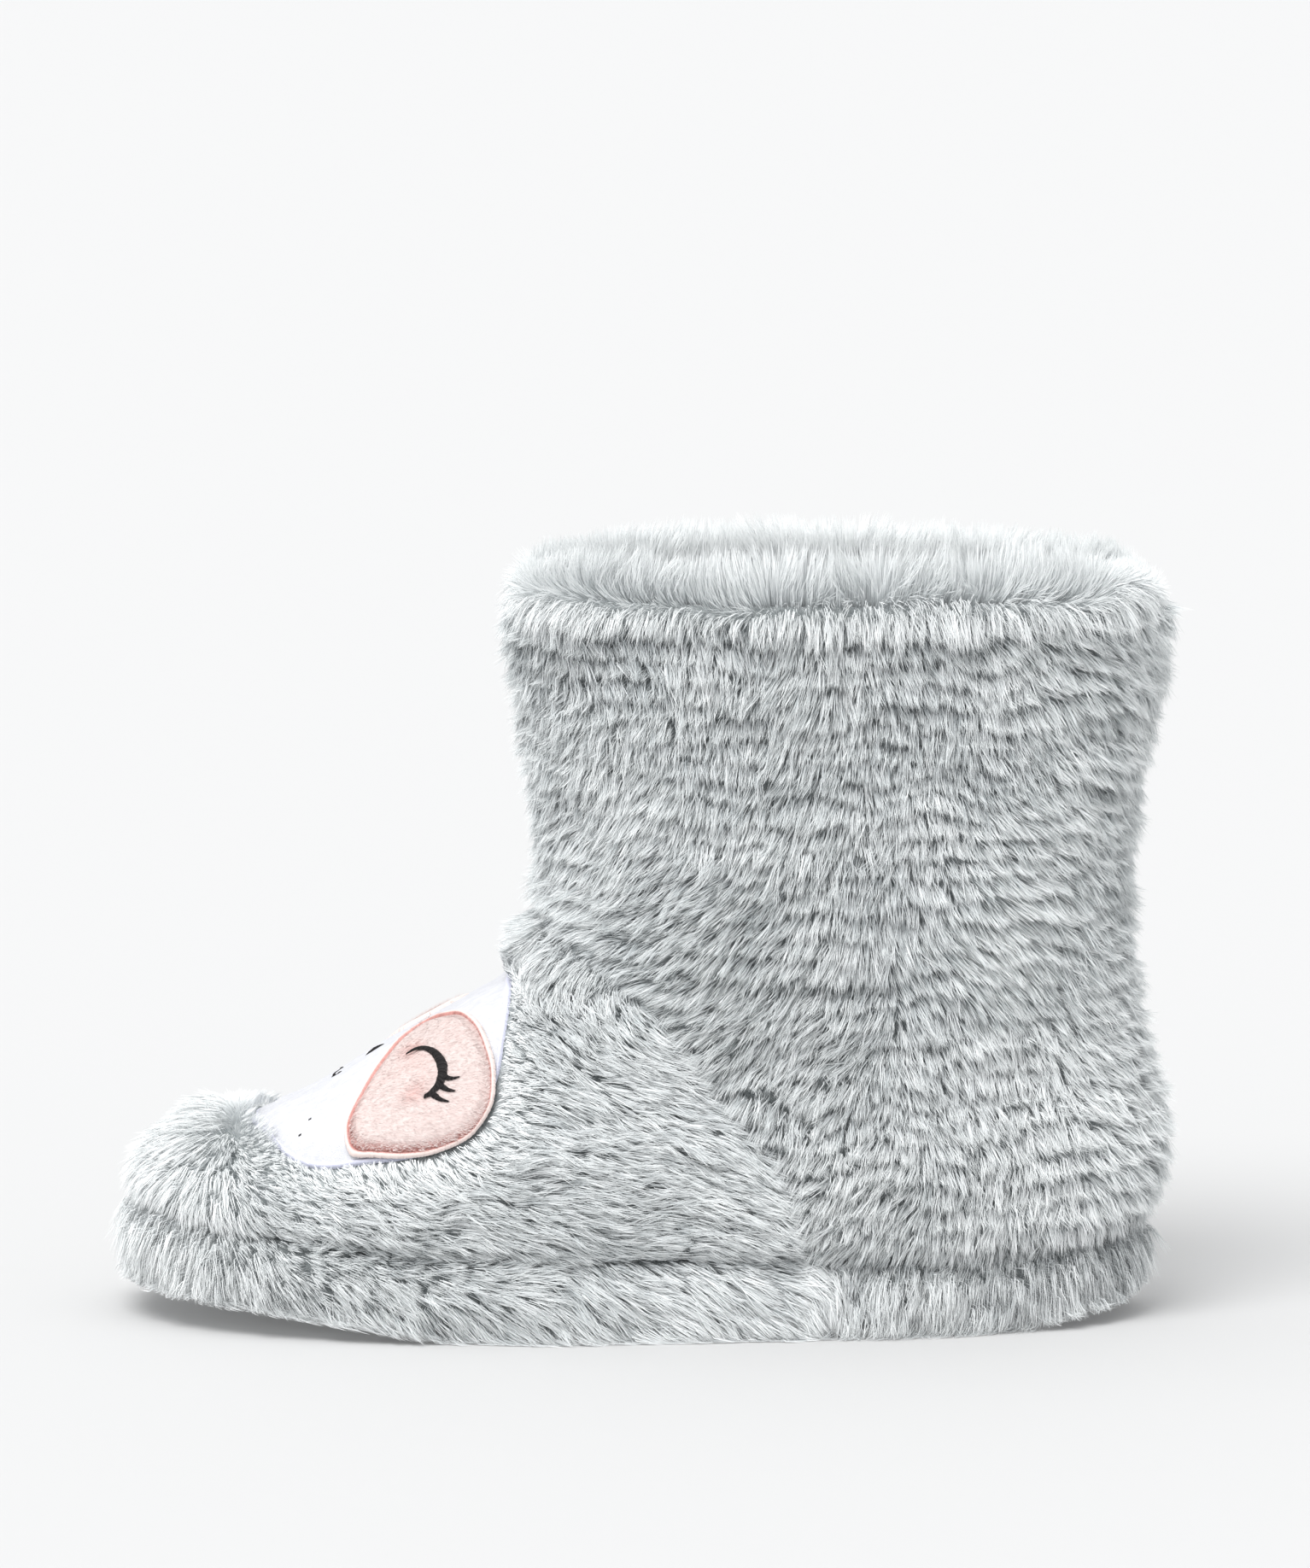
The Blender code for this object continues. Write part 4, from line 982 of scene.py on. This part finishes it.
# Platform wrap. A strip of the same fur, glued round the foam platform from the upper's base line
# down to the floor. Its locks lie along the shoe, and their ends make a ragged hem that rises a
# little under the sprung toe.
WRAP_LIE = (
    # station, lean
    (-0.110, 10),
    (-0.090, 50),
    (-0.065, 66),
    (-0.045, 30),
    (-0.030, -60),
    (0.020, -80),
    (0.060, -82),
    (0.085, -70),
    (0.098, -30),
    (0.115, 25),
)
WRAP_LENGTH = 0.0098


def platform_core():
    """The wrap's backing, from under the foam round its side to the top."""
    rings = []
    for share, grow in ((0.02, -0.35), (0.03, 0.10), (0.25, 0.26), (0.75, 0.26), (0.97, 0.16), (1.0, -0.6)):
        flat = base_outline(200, grow * WRAP_PILE)
        low = sole_underside(flat[:, 0]) + OUTSOLE_THICKNESS
        rings.append(np.column_stack([flat, low + (platform_top(flat[:, 0]) - low) * share]))
    return np.concatenate(rings), grid_faces(len(rings), 200, closed=True)


core_points, core_faces = platform_core()
add_piece("platform_backing", core_points, core_faces, backing)


def wrap_fur(name, seed, first, last, replaced=()):
    rng = np.random.default_rng(seed)
    ring = base_outline(720, 0.26 * WRAP_PILE)
    outer = base_outline(720, 1.26 * WRAP_PILE)
    run = np.linalg.norm(np.roll(ring, -1, axis=0) - ring, axis=1).sum()
    count = int(run * (last - first) * PLATFORM_HEIGHT * 1.2 * 1e6 * STRANDS_PER_MM2)
    at = rng.uniform(first, last, count) * 720
    k = at.astype(int) % 720
    flat = ring[k] + (ring[(k + 1) % 720] - ring[k]) * (at % 1)[:, None]
    out = np.column_stack([unit(outer[k] - ring[k]), np.zeros(count)])
    share = rng.uniform(0.0, 1.0, count)
    low = sole_underside(flat[:, 0]) + 0.4 * OUTSOLE_THICKNESS
    root = np.column_stack([flat, low + (platform_top(flat[:, 0]) - 0.0004 - low) * share])
    out[:, 2] = -0.35 * (1 - share) + 0.25 * share
    out = unit(out)
    rows = np.array(WRAP_LIE)
    lean = np.radians(np.interp(root[:, 0], rows[:, 0], rows[:, 1]))
    lean *= 0.62 + 0.38 * share
    lean += 0.45 * drift(root, 0.014, 51) + 0.25 * drift(root, 0.006, 52)
    lie = hanging(out, lean)
    waves = drift(root, 0.006, 53)
    top = groove(1 - share, 0.30)
    length = WRAP_LENGTH * (0.40 + 0.60 * top) * (1 + 0.18 * waves)
    stand = 0.72 * (0.50 + 0.50 * top) * (1 + 0.35 * waves)
    # The tone is paler towards the toe and at the heel, painted light; it is darker at the top of the wrap, where
    # it meets the upper, painted shade.
    painted_toe_light = np.clip((root[:, 0] - 0.050) / 0.035, 0, 1)
    tone = (0.72 + 0.26 * painted_toe_light + 0.12 * (root[:, 0] < -0.03) + 0.16 * drift(root, 0.012, 54)
            + 0.16 * waves - 0.35 * (1 - top))
    return lay_fur(name, root, out, lie, length, stand, tone, seed + 1, replaced)


wrap_fur("wrap_fur_outer", 141, 0.0, 0.5, ["midsole_wrap"])
wrap_fur("wrap_fur_inner", 151, 0.5, 1.0)


# Collar facing. A band of the fur is sewn to the top edge and turned inside, so the edge is a thick
# soft roll. The fur stands up along the edge and fans out, and inside it lies up the band.
FACING_DEPTH = 0.034
ROLL = 0.0032               # radius of the turned edge
ROLL_RISE = 0.0006          # its middle above the backing's edge
EDGE_LENGTH = 0.0078
OUTER_EXTRA = 0.0060        # the edge is brushed up higher on the outer side
FAR_EXTRA = 0.0018          # and a little on the inner side
HEEL_SHORTER = 0.45         # the hairs at the back and front of the edge are shorter by these shares
FRONT_SHORTER = 0.32
FACING_LENGTH = 0.0095
COLLAR_CROWDING = 1.25      # the fold brings the hairs of the edge closer together


def on_facing(turn, run):
    """Places of the turned band: run goes from the outside over the edge and down inside."""
    edge = skin.read(skin.points, turn, np.ones(len(turn)))
    wide = unit(skin.read(skin.out, turn, np.ones(len(turn))) * (1, 1, 0))
    up = np.array([0.0, 0.0, 1.0])
    bend = np.clip(run / (math.pi * ROLL), 0, 1) * math.pi
    out = wide * np.cos(bend)[:, None] + up * np.sin(bend)[:, None]
    down = np.clip(run - math.pi * ROLL, 0, None)
    root = edge - wide * (WALL / 2) + up * ROLL_RISE + out * ROLL
    root[:, 2] -= down
    return root, out, wide, bend, down


fold_run = np.linspace(-0.003, math.pi * ROLL + FACING_DEPTH, 26)
fold_turn, fold_run = np.meshgrid(np.arange(120) / 120, fold_run)
fold, fold_out, fold_wide, _, _ = on_facing(fold_turn.ravel(), np.clip(fold_run.ravel(), 0, None))
fold[:, 2] += np.clip(fold_run.ravel(), None, 0)
add_piece("facing_backing", fold - fold_out * 0.0006, grid_faces(26, 120, True), backing)


def collar_fur(name, seed, turn_low, turn_high, replaced=()):
    rng = np.random.default_rng(seed)
    around = np.linalg.norm(np.diff(section(1.0), axis=0), axis=1).sum() * (turn_high - turn_low)
    depth = math.pi * ROLL + FACING_DEPTH * 0.62
    count = int(around * depth * 1e6 * STRANDS_PER_MM2 * COLLAR_CROWDING)
    turn = rng.uniform(turn_low, turn_high, count)
    root, out, wide, bend, down = on_facing(turn, depth * rng.uniform(0, 1, count) ** 1.4)
    up = np.array([0.0, 0.0, 1.0])
    parting = 0.22 + 0.22 * drift(root * (1, 1, 0), 0.016, 65)
    over = np.clip((parting - bend / math.pi) / 0.40 + 0.5, 0, 1)[:, None]
    downhill = unit(wide * np.sin(bend)[:, None] - up * np.cos(bend)[:, None])
    sway = 0.45 * drift(root, 0.014, 61) + 0.30 * drift(root, 0.006, 62)
    upright = unit(up + out * 0.28 + np.cross(up, wide) * sway[:, None])
    at_end = np.abs(wide[:, :1]) ** 4
    hung = unit(downhill * (0.6 + 0.4 * at_end) + out * (0.8 - 0.3 * at_end))
    aim = unit(upright * (1 - over) + hung * over)
    lie = unit(aim - out * (aim * out).sum(axis=1, keepdims=True) + 0.001 * downhill)
    stand = np.arcsin(np.clip((aim * out).sum(axis=1), 0.05, 0.99))
    waves = drift(root, 0.007, 63)
    inner = np.clip((bend / math.pi - 0.5) / 0.4, 0, 1)
    length = EDGE_LENGTH + (FACING_LENGTH - EDGE_LENGTH) * inner
    length += OUTER_EXTRA * np.clip(wide[:, 1], 0, 1) * (1 - inner) * (1 - over[:, 0])
    length += (0.0028 + 0.0026 * drift(root, 0.008, 67)) * over[:, 0]
    length += FAR_EXTRA * np.clip(-wide[:, 1], 0, 1) * (1 - over[:, 0])
    shorter = np.where(wide[:, 0] < 0, HEEL_SHORTER, FRONT_SHORTER) * at_end[:, 0]
    length *= 1 + 0.16 * waves + 0.12 * drift(root, 0.016, 66) - shorter
    # The fur inside the collar is paler, painted light against the shade there.
    tone = 0.94 + 0.08 * drift(root, 0.012, 64) + 0.08 * waves + 0.10 * inner
    return lay_fur(name, root, out, lie, length, stand, tone, seed + 1, replaced, 0.30, 0.7)


collar_fur("collar_fur_outer", 161, 0.0, 0.5, ["collar_facing"])
collar_fur("collar_fur_inner", 171, 0.5, 1.0)


# Face panel. A smooth white velour panel, let into the vamp and edged with a narrow row of pale
# lavender satin stitch. It lies close on the backing, with a slight fullness, and its nap is too
# short to show as hairs.
PANEL_THICKNESS = 0.0014
PANEL_FULLNESS = 0.0006
EDGING_WIDTH = 0.0013
THREAD_PITCH = 0.00024
STITCH_CROWN = 0.00045
FULL_CROWN_WIDTH = 0.0008   # narrower rows are flatter

velour = Finish("white_velour", 0.90)
nap = velour.noise(420.0, 3.0, (1.0, 2.2, 1.0))
velour.colour(velour.mix(velour.range(nap, 0.35, 0.7), cloth(211, 212, 217), cloth(224, 224, 228)))
velour.relief(velour.noise(2600.0, 2.0, (1.0, 2.0, 1.0)) + nap * 0.5, 0.00025)


def face_sheet(rungs=56, steps=48):
    along, across = face_edge(rungs)
    share = np.linspace(-1, 1, steps + 1)
    flat_x = np.repeat(along[:, None], steps + 1, axis=1)
    flat_y = across[:, None] * share[None]
    to_side = (1 - np.abs(share[None])) * across[:, None]
    to_end = np.minimum(along - along[0], along[-1] - along)[:, None]
    rim = np.clip(np.minimum(to_side, to_end) / 0.006, 0, 1)
    lift = PANEL_THICKNESS * (0.45 + 0.55 * rim ** 0.5) + PANEL_FULLNESS * rim
    points, _ = skin.on_vamp(flat_x, flat_y, lift)
    return points, grid_faces(rungs, steps + 1)


face_points, face_faces = face_sheet()
add_piece("face_velour", face_points, face_faces, velour, ["face_panel"])


def lay_nap(name, flat, lift, way, length, width, finish, seed):
    """A short nap: slim single triangles that lean one way over the flat places."""
    rng = np.random.default_rng(seed)
    count = len(flat)
    way = np.array(way) + rng.normal(0, 0.16, (count, 2))
    root, out = skin.on_vamp(flat[:, 0], flat[:, 1], lift)
    ahead, _ = skin.on_vamp(flat[:, 0] + 0.001 * way[:, 0], flat[:, 1] + 0.001 * way[:, 1], lift)
    lie = unit(ahead - root)
    tip = root + (length * rng.uniform(0.7, 1.2, count))[:, None] * (lie + out * 0.42)
    side = np.cross(lie, out) * (width * rng.uniform(0.7, 1.3, count))[:, None]
    root = root - out * 0.0002
    points = np.stack([root - side, root + side, tip], axis=1).reshape(-1, 3)
    normals = np.repeat(out, 3, axis=0)
    return add_piece(name, points, np.arange(3 * count).reshape(-1, 3), finish, (), normals)


def sown(outline, density, seed):
    """Flat places sown evenly inside an outline."""
    rng = np.random.default_rng(seed)
    low, high = outline.min(axis=0), outline.max(axis=0)
    count = int(np.prod(high - low) * 1e6 * density)
    flat = rng.uniform(low, high, (count, 2))
    return flat[inside_outline(flat, outline)]


def row_of_stitches(path, widths, lift, crown, slant=0.25, closed=False):
    """Satin stitch along a flat path: threads laid side by side across it, each crowned. Gives
    points, faces and a flat map that runs across the row."""
    ends = np.concatenate([path, path[:1]]) if closed else path
    run = run_along(ends)
    count = max(2, int(run[-1] / THREAD_PITCH))
    at = (np.arange(count) + 0.5) / count * run[-1]
    middle = read_line(ends, run, at)
    ahead = read_line(ends, run, np.clip(at + THREAD_PITCH, 0, run[-1]))
    back = read_line(ends, run, np.clip(at - THREAD_PITCH, 0, run[-1]))
    along = unit(ahead - back)
    across = np.stack([-along[:, 1], along[:, 0]], axis=1)
    rng = np.random.default_rng(count)
    wide = np.interp(at / run[-1], np.linspace(0, 1, len(widths)), widths) * rng.uniform(0.88, 1.08, count)
    share = np.linspace(-1, 1, 5)
    thread = np.array([-0.55, 0.0, 0.55])[:, None] * THREAD_PITCH
    reach = (wide[:, None] * 0.5 * share)[:, :, None, None]
    flat = middle[:, None, None] + across[:, None, None] * reach + along[:, None, None] * (thread + reach * slant)
    arch_up = crown * np.minimum(wide / FULL_CROWN_WIDTH, 1)[:, None] * np.sqrt(1 - share ** 2)
    height = lift + arch_up[:, :, None] + np.array([-0.00007, 0.00004, -0.00007])
    points, _ = skin.on_vamp(flat[..., 0], flat[..., 1], height)
    faces = (grid_faces(5, 3)[None] + 15 * np.arange(count)[:, None, None]).reshape(-1, 4)
    where = np.zeros((count, 5, 3, 2))
    where[..., 0] = (0.5 + 0.49 * share)[None, :, None]
    where[..., 1] = ((np.arange(count) * 0.618) % 1)[:, None, None] * 0.9 + np.array([0.0, 0.04, 0.08])
    return points, faces, where.reshape(-1, 2)


def add_stitches(name, rows, finish):
    """Several rows of stitches as one piece."""
    points, faces, maps, first = [], [], [], 0
    for row_points, row_faces, row_map in rows:
        points.append(row_points)
        faces.append(row_faces + first)
        maps.append(row_map)
        first += len(row_points)
    flat = np.concatenate(maps)
    return add_piece(name, np.concatenate(points), np.concatenate(faces), finish, (), None,
                     {"thread": flat, "OFBake": flat})


def thread_finish(name, inner, outer, roughness=0.55, fray=0.18, turn=0.5):
    """Twisted embroidery thread, one colour at each side of the row."""
    made = Finish(name, roughness)
    across, lot = made.flat_map("thread")
    colour = made.mix(made.range(across, turn - 0.12, turn + 0.12), inner, outer)
    made.colour(made.mix(made.range(lot, 0.0, 1.0, 0.0, fray), colour, cloth(255, 250, 248)))
    return made


lavender = thread_finish("lavender_thread", cloth(220, 221, 236), cloth(206, 208, 227))
edge_path = np.stack(face_edge(160), axis=1)
edge_path = np.concatenate([edge_path[:0:-1] * (1, -1), edge_path])
edging = row_of_stitches(edge_path, [EDGING_WIDTH], PANEL_THICKNESS * 0.5, STITCH_CROWN * 1.4)
add_stitches("panel_edging", [edging], lavender)


# Eye patches. Egg-shaped pieces of short pink plush, crowned by their own pile, with a satin-stitched
# border that is salmon inside and cream outside. The nap runs slantwise, and the sewing of the eyes
# puckers it a little.
PATCH_LIFT = PANEL_THICKNESS + GAP
PATCH_THICKNESS = 0.0011
PATCH_FULLNESS = 0.0007
BORDER_WIDTH = 0.0012
PUCKERS = ((0.0479, 0.0215), (0.0475, 0.0350))
PUCKER_REACH = 0.0042

plush = Finish("pink_plush", 0.92)
nap = plush.noise(700.0, 3.0, (0.5, 2.0, 1.6))
pink = plush.mix(plush.range(nap, 0.32, 0.70), cloth(209, 191, 187), cloth(222, 209, 205))
place = plush.node("ShaderNodeTexCoord", None, None, 3)
# A random blush, and deeper pink round the puckers at the ends of the eyes, painted shade in the dimples.
blush_and_pucker_shade = plush.range(plush.noise(90.0, 2.0), 0.45, 0.75, 0.0, 0.25)
for side in (1, -1):
    stations, reaches = np.array(PUCKERS).T
    spots, _ = skin.on_vamp(stations, side * reaches, PATCH_LIFT + PATCH_THICKNESS)
    for spot in spots:
        apart = plush.node("ShaderNodeVectorMath", {"operation": "DISTANCE"}, {0: place, 1: tuple(spot)}, 1)
        blush_and_pucker_shade = blush_and_pucker_shade + plush.range(apart, 0.0, PUCKER_REACH, 0.75, 0.0)
near_rim, low_side = plush.flat_map("rim")
pink = plush.mix(blush_and_pucker_shade, pink, cloth(224, 184, 178))
shaded = plush.range(near_rim, 0.86, 0.97) * low_side
plush.colour(plush.mix(shaded * (0.45 + 0.8 * plush.range(nap, 0.3, 0.7)), pink, cloth(196, 136, 130)))
plush.relief(nap, 0.0004)


def padded_patch(side, rings=22, count=120):
    """The padded plush, and a flat map of how near the rim and how far down the side a point is."""
    edge = patch_edge(side, count, -0.6 * BORDER_WIDTH)
    middle = edge.mean(axis=0)
    share = np.concatenate([[0.0], np.linspace(0.06, 1.0, rings) ** 0.8])
    flat = middle + (edge - middle) * share[:, None, None]
    rim = np.clip((1 - share) / 0.16, 0, 1)[:, None] * np.ones(count)
    lift = PATCH_LIFT + PATCH_THICKNESS * (0.35 + 0.65 * np.sqrt(rim)) + PATCH_FULLNESS * (rim - 0.5)
    for spot in PUCKERS:
        apart = np.hypot(flat[..., 0] - spot[0], flat[..., 1] - side * spot[1])
        lift = lift - 0.0005 * np.exp(-(apart / 0.0025) ** 2)
    points, _ = skin.on_vamp(flat[:, :, 0], flat[:, :, 1], lift)
    down = np.clip((side * (edge[:, 1] - middle[1])) / 0.012 + 0.25, 0, 1)
    down *= np.clip((edge[:, 0] - 0.032) / 0.008, 0, 1)
    rim_flat = np.stack(np.broadcast_arrays(share[:, None], down[None]), axis=-1).reshape(-1, 2)
    return points, grid_faces(len(share), count, closed=True), rim_flat


salmon = thread_finish("salmon_thread", cloth(214, 150, 142), cloth(240, 222, 216), 0.6, 0.12, 0.36)
for side, name in ((1, "outer"), (-1, "inner")):
    patch_points, patch_faces, rim_flat = padded_patch(side)
    if side < 0:
        patch_faces = patch_faces[:, ::-1]
    add_piece("patch_plush_" + name, patch_points, patch_faces, plush, ["eye_patch_" + name],
              None, {"rim": rim_flat})
    border = patch_edge(side, 240, -0.5 * BORDER_WIDTH)
    if side > 0:
        border = border[::-1]
    stitched = row_of_stitches(border, [BORDER_WIDTH], PATCH_LIFT + 0.0003, 0.0008, closed=True)
    add_stitches("patch_border_" + name, [stitched], salmon)

pink_nap = Finish("pink_nap", 0.92)
lots = pink_nap.noise(1400.0, 1.0)
pink_nap.colour(pink_nap.mix(pink_nap.range(lots, 0.35, 0.65), cloth(213, 194, 190), cloth(227, 215, 211)))
for side, name in ((1, "outer"), (-1, "inner")):
    lay_nap("patch_nap_" + name, sown(patch_edge(side, 80, -0.9 * BORDER_WIDTH), 9.0, 211 + side),
            PATCH_LIFT + PATCH_THICKNESS + 0.45 * PATCH_FULLNESS, (-0.80, side * 0.55), 0.0011, 0.00006,
            pink_nap, 214 + side)


# Embroidered face. Two closed eyes with three lashes each, a small nose, a smiling mouth and a few
# whisker dots, sewn in charcoal thread that looks fuzzy on the pile.
EYE = ((0.0487, 0.0232), (0.0470, 0.0231), (0.0452, 0.0240), (0.0434, 0.0261), (0.0421, 0.0288),
       (0.0413, 0.0316), (0.0413, 0.0338), (0.0419, 0.0355), (0.0430, 0.0367), (0.0443, 0.0373),
       (0.0452, 0.0374))
EYE_WIDTHS = (0.0004, 0.0007, 0.0010, 0.0012, 0.0015, 0.0018, 0.0020, 0.0021, 0.0021, 0.0018, 0.0009)
LASHES = (
    ((0.0413, 0.0345), (0.0396, 0.0360), (0.0377, 0.0366)),
    ((0.0420, 0.0362), (0.0404, 0.0382), (0.0388, 0.0393)),
    ((0.0438, 0.0372), (0.0420, 0.0396), (0.0402, 0.0410)),
)
LASH_WIDTHS = (0.0013, 0.0009, 0.0003)
MOUTH = ((0.0640, 0.0050), (0.0650, 0.0040), (0.0656, 0.0022), (0.0655, 0.0))
NOSE_CENTRE = 0.0569
NOSE_LENGTH = 0.0050
NOSE_WIDTH = 0.0044
DOTS = ((0.0719, 0.0283), (0.0698, 0.0250))

# Darker salmon nap along the lower edge of each patch, painted shade where the padded rim turns down.
painted_shade_pile = Finish("painted_shade_pile", 0.95)
lots = painted_shade_pile.noise(1800.0, 1.0)
lots = painted_shade_pile.range(lots, 0.35, 0.65)
painted_shade_pile.colour(painted_shade_pile.mix(lots, cloth(168, 112, 106), cloth(216, 164, 156)))
for side, name in ((1, "outer"), (-1, "inner")):
    rng = np.random.default_rng(230 + side)
    edge = patch_edge(side, 400, -1.05 * BORDER_WIDTH)
    middle = edge.mean(axis=0)
    pick = rng.integers(0, len(edge), 5200)
    low = np.clip((side * (edge[pick, 1] - middle[1])) / 0.012 + 0.15, 0, 1)
    low *= np.clip((edge[pick, 0] - 0.032) / 0.008, 0, 1)
    keep = rng.uniform(0, 1, len(pick)) < low
    pick = pick[keep]
    inward = unit(middle - edge[pick])
    deep = 0.0026 * low[keep] * rng.uniform(0, 1, len(pick)) ** 1.7
    flat = edge[pick] + inward * deep[:, None] + rng.normal(0, 0.00008, (len(pick), 2))
    lay_nap("painted_shade_pile_" + name, flat, PATCH_LIFT + PATCH_THICKNESS * 0.75, (-0.35, side * 0.9), 0.0009,
            0.00006, painted_shade_pile, 234 + side)


charcoal = thread_finish("charcoal_thread", cloth(20, 17, 18), cloth(26, 23, 24), 0.85, 0.03)
charcoal.shader.inputs["Specular IOR Level"].default_value = 0.15
charcoal_rows = []
on_patch = PATCH_LIFT + PATCH_THICKNESS + 0.0006


for side in (1, -1):
    flip = (1, side)
    charcoal_rows.append(row_of_stitches(eased(EYE, 60) * flip, EYE_WIDTHS, on_patch, 0.0005, 0.5))
    for lash in LASHES:
        charcoal_rows.append(row_of_stitches(eased(lash, 20) * flip, LASH_WIDTHS, on_patch, 0.0004, 0.5))
on_panel = PANEL_THICKNESS + PANEL_FULLNESS
mouth = np.concatenate([eased(MOUTH, 60), eased(MOUTH, 60)[-2::-1] * (1, -1)])
charcoal_rows.append(row_of_stitches(mouth, [0.0004, 0.0007, 0.0006, 0.0007, 0.0004], on_panel, 0.0002))
for side in (1, -1):
    tick = np.array([(0.0634, 0.0044), (0.0644, 0.0056)]) * (1, side)
    charcoal_rows.append(row_of_stitches(eased(tick, 8), [0.0004, 0.0007, 0.0004], on_panel, 0.0003))
nose = np.array([(NOSE_CENTRE, -NOSE_WIDTH / 2), (NOSE_CENTRE, NOSE_WIDTH / 2)])
nose_widths = NOSE_LENGTH * np.sqrt(np.clip(1 - np.linspace(-1, 1, 21) ** 2, 0.02, 1))
charcoal_rows.append(row_of_stitches(eased(nose, 40), nose_widths, on_panel - 0.0002, 0.0005, 0.0))
for side in (1, -1):
    for x, across in DOTS:
        dot = np.array([(x - 0.0003, across), (x + 0.0003, across)]) * (1, side)
        charcoal_rows.append(row_of_stitches(dot, [0.0004, 0.0006, 0.0004], on_panel, 0.0003))
add_stitches("embroidered_face", charcoal_rows, charcoal)


# Studio. A pale floor that runs far behind the shoe, even soft light from all round with a wide soft
# key from above the toe and a faint fill from the front, and a long lens at the height of the shoe.
floor_finish = Finish("studio_paper", 0.9)
floor_finish.colour((0.56, 0.56, 0.56, 1.0))
floor_finish.shader.inputs["Emission Color"].default_value = (1.0, 1.0, 1.0, 1.0)
floor_finish.shader.inputs["Emission Strength"].default_value = 0.090
floor_mesh = bpy.data.meshes.new("studio_floor")
floor_mesh.from_pydata([(-9, -14, 0), (9, -14, 0), (9, 9, 0), (-9, 9, 0)], [], [(0, 1, 2, 3)])
floor_mesh.materials.append(floor_finish.material)
studio_floor = bpy.data.objects.new("studio_floor", floor_mesh)
bpy.context.scene.collection.objects.link(studio_floor)

world = bpy.data.worlds.new("studio_light")
world.use_nodes = True
world.node_tree.nodes["Background"].inputs["Color"].default_value = (0.98, 0.99, 1.0, 1.0)
world.node_tree.nodes["Background"].inputs["Strength"].default_value = 0.80
bpy.context.scene.world = world

SOFT_LIGHTS = (
    # name, power, spread in degrees, way from the shoe to the light
    ("key", 2.10, 35, (0.45, 1.0, 1.5)),
    ("top", 0.50, 70, (0.3, 0.2, 1.0)),
    ("fill", 0.36, 60, (0.6, 1.0, 0.15)),
)
for name, power, spread, way in SOFT_LIGHTS:
    lamp = bpy.data.lights.new(name, "SUN")
    lamp.energy = power
    lamp.angle = math.radians(spread)
    light = bpy.data.objects.new(name, lamp)
    light.rotation_euler = Vector(way).to_track_quat("Z", "Y").to_euler()
    bpy.context.scene.collection.objects.link(light)

bpy.context.scene.view_settings.view_transform = "Standard"

VIEW_CENTRE = Vector((-0.0024, 0.0, 0.1130))
VIEW_ELEVATION = math.radians(7.5)
VIEW_DISTANCE = 3.0
FRAME_HEIGHT = 0.3332       # height of the picture at the shoe
SENSOR_HEIGHT = 24.0

lens = bpy.data.cameras.new("camera")
lens.sensor_fit = "VERTICAL"
lens.sensor_height = SENSOR_HEIGHT
lens.lens = SENSOR_HEIGHT * VIEW_DISTANCE / FRAME_HEIGHT
lens.clip_end = 30
camera = bpy.data.objects.new("camera", lens)
sight = Vector((0, math.cos(VIEW_ELEVATION), math.sin(VIEW_ELEVATION)))
camera.location = VIEW_CENTRE + sight * VIEW_DISTANCE
camera.rotation_euler = sight.to_track_quat("Z", "Y").to_euler()
bpy.context.scene.collection.objects.link(camera)
bpy.context.scene.camera = camera
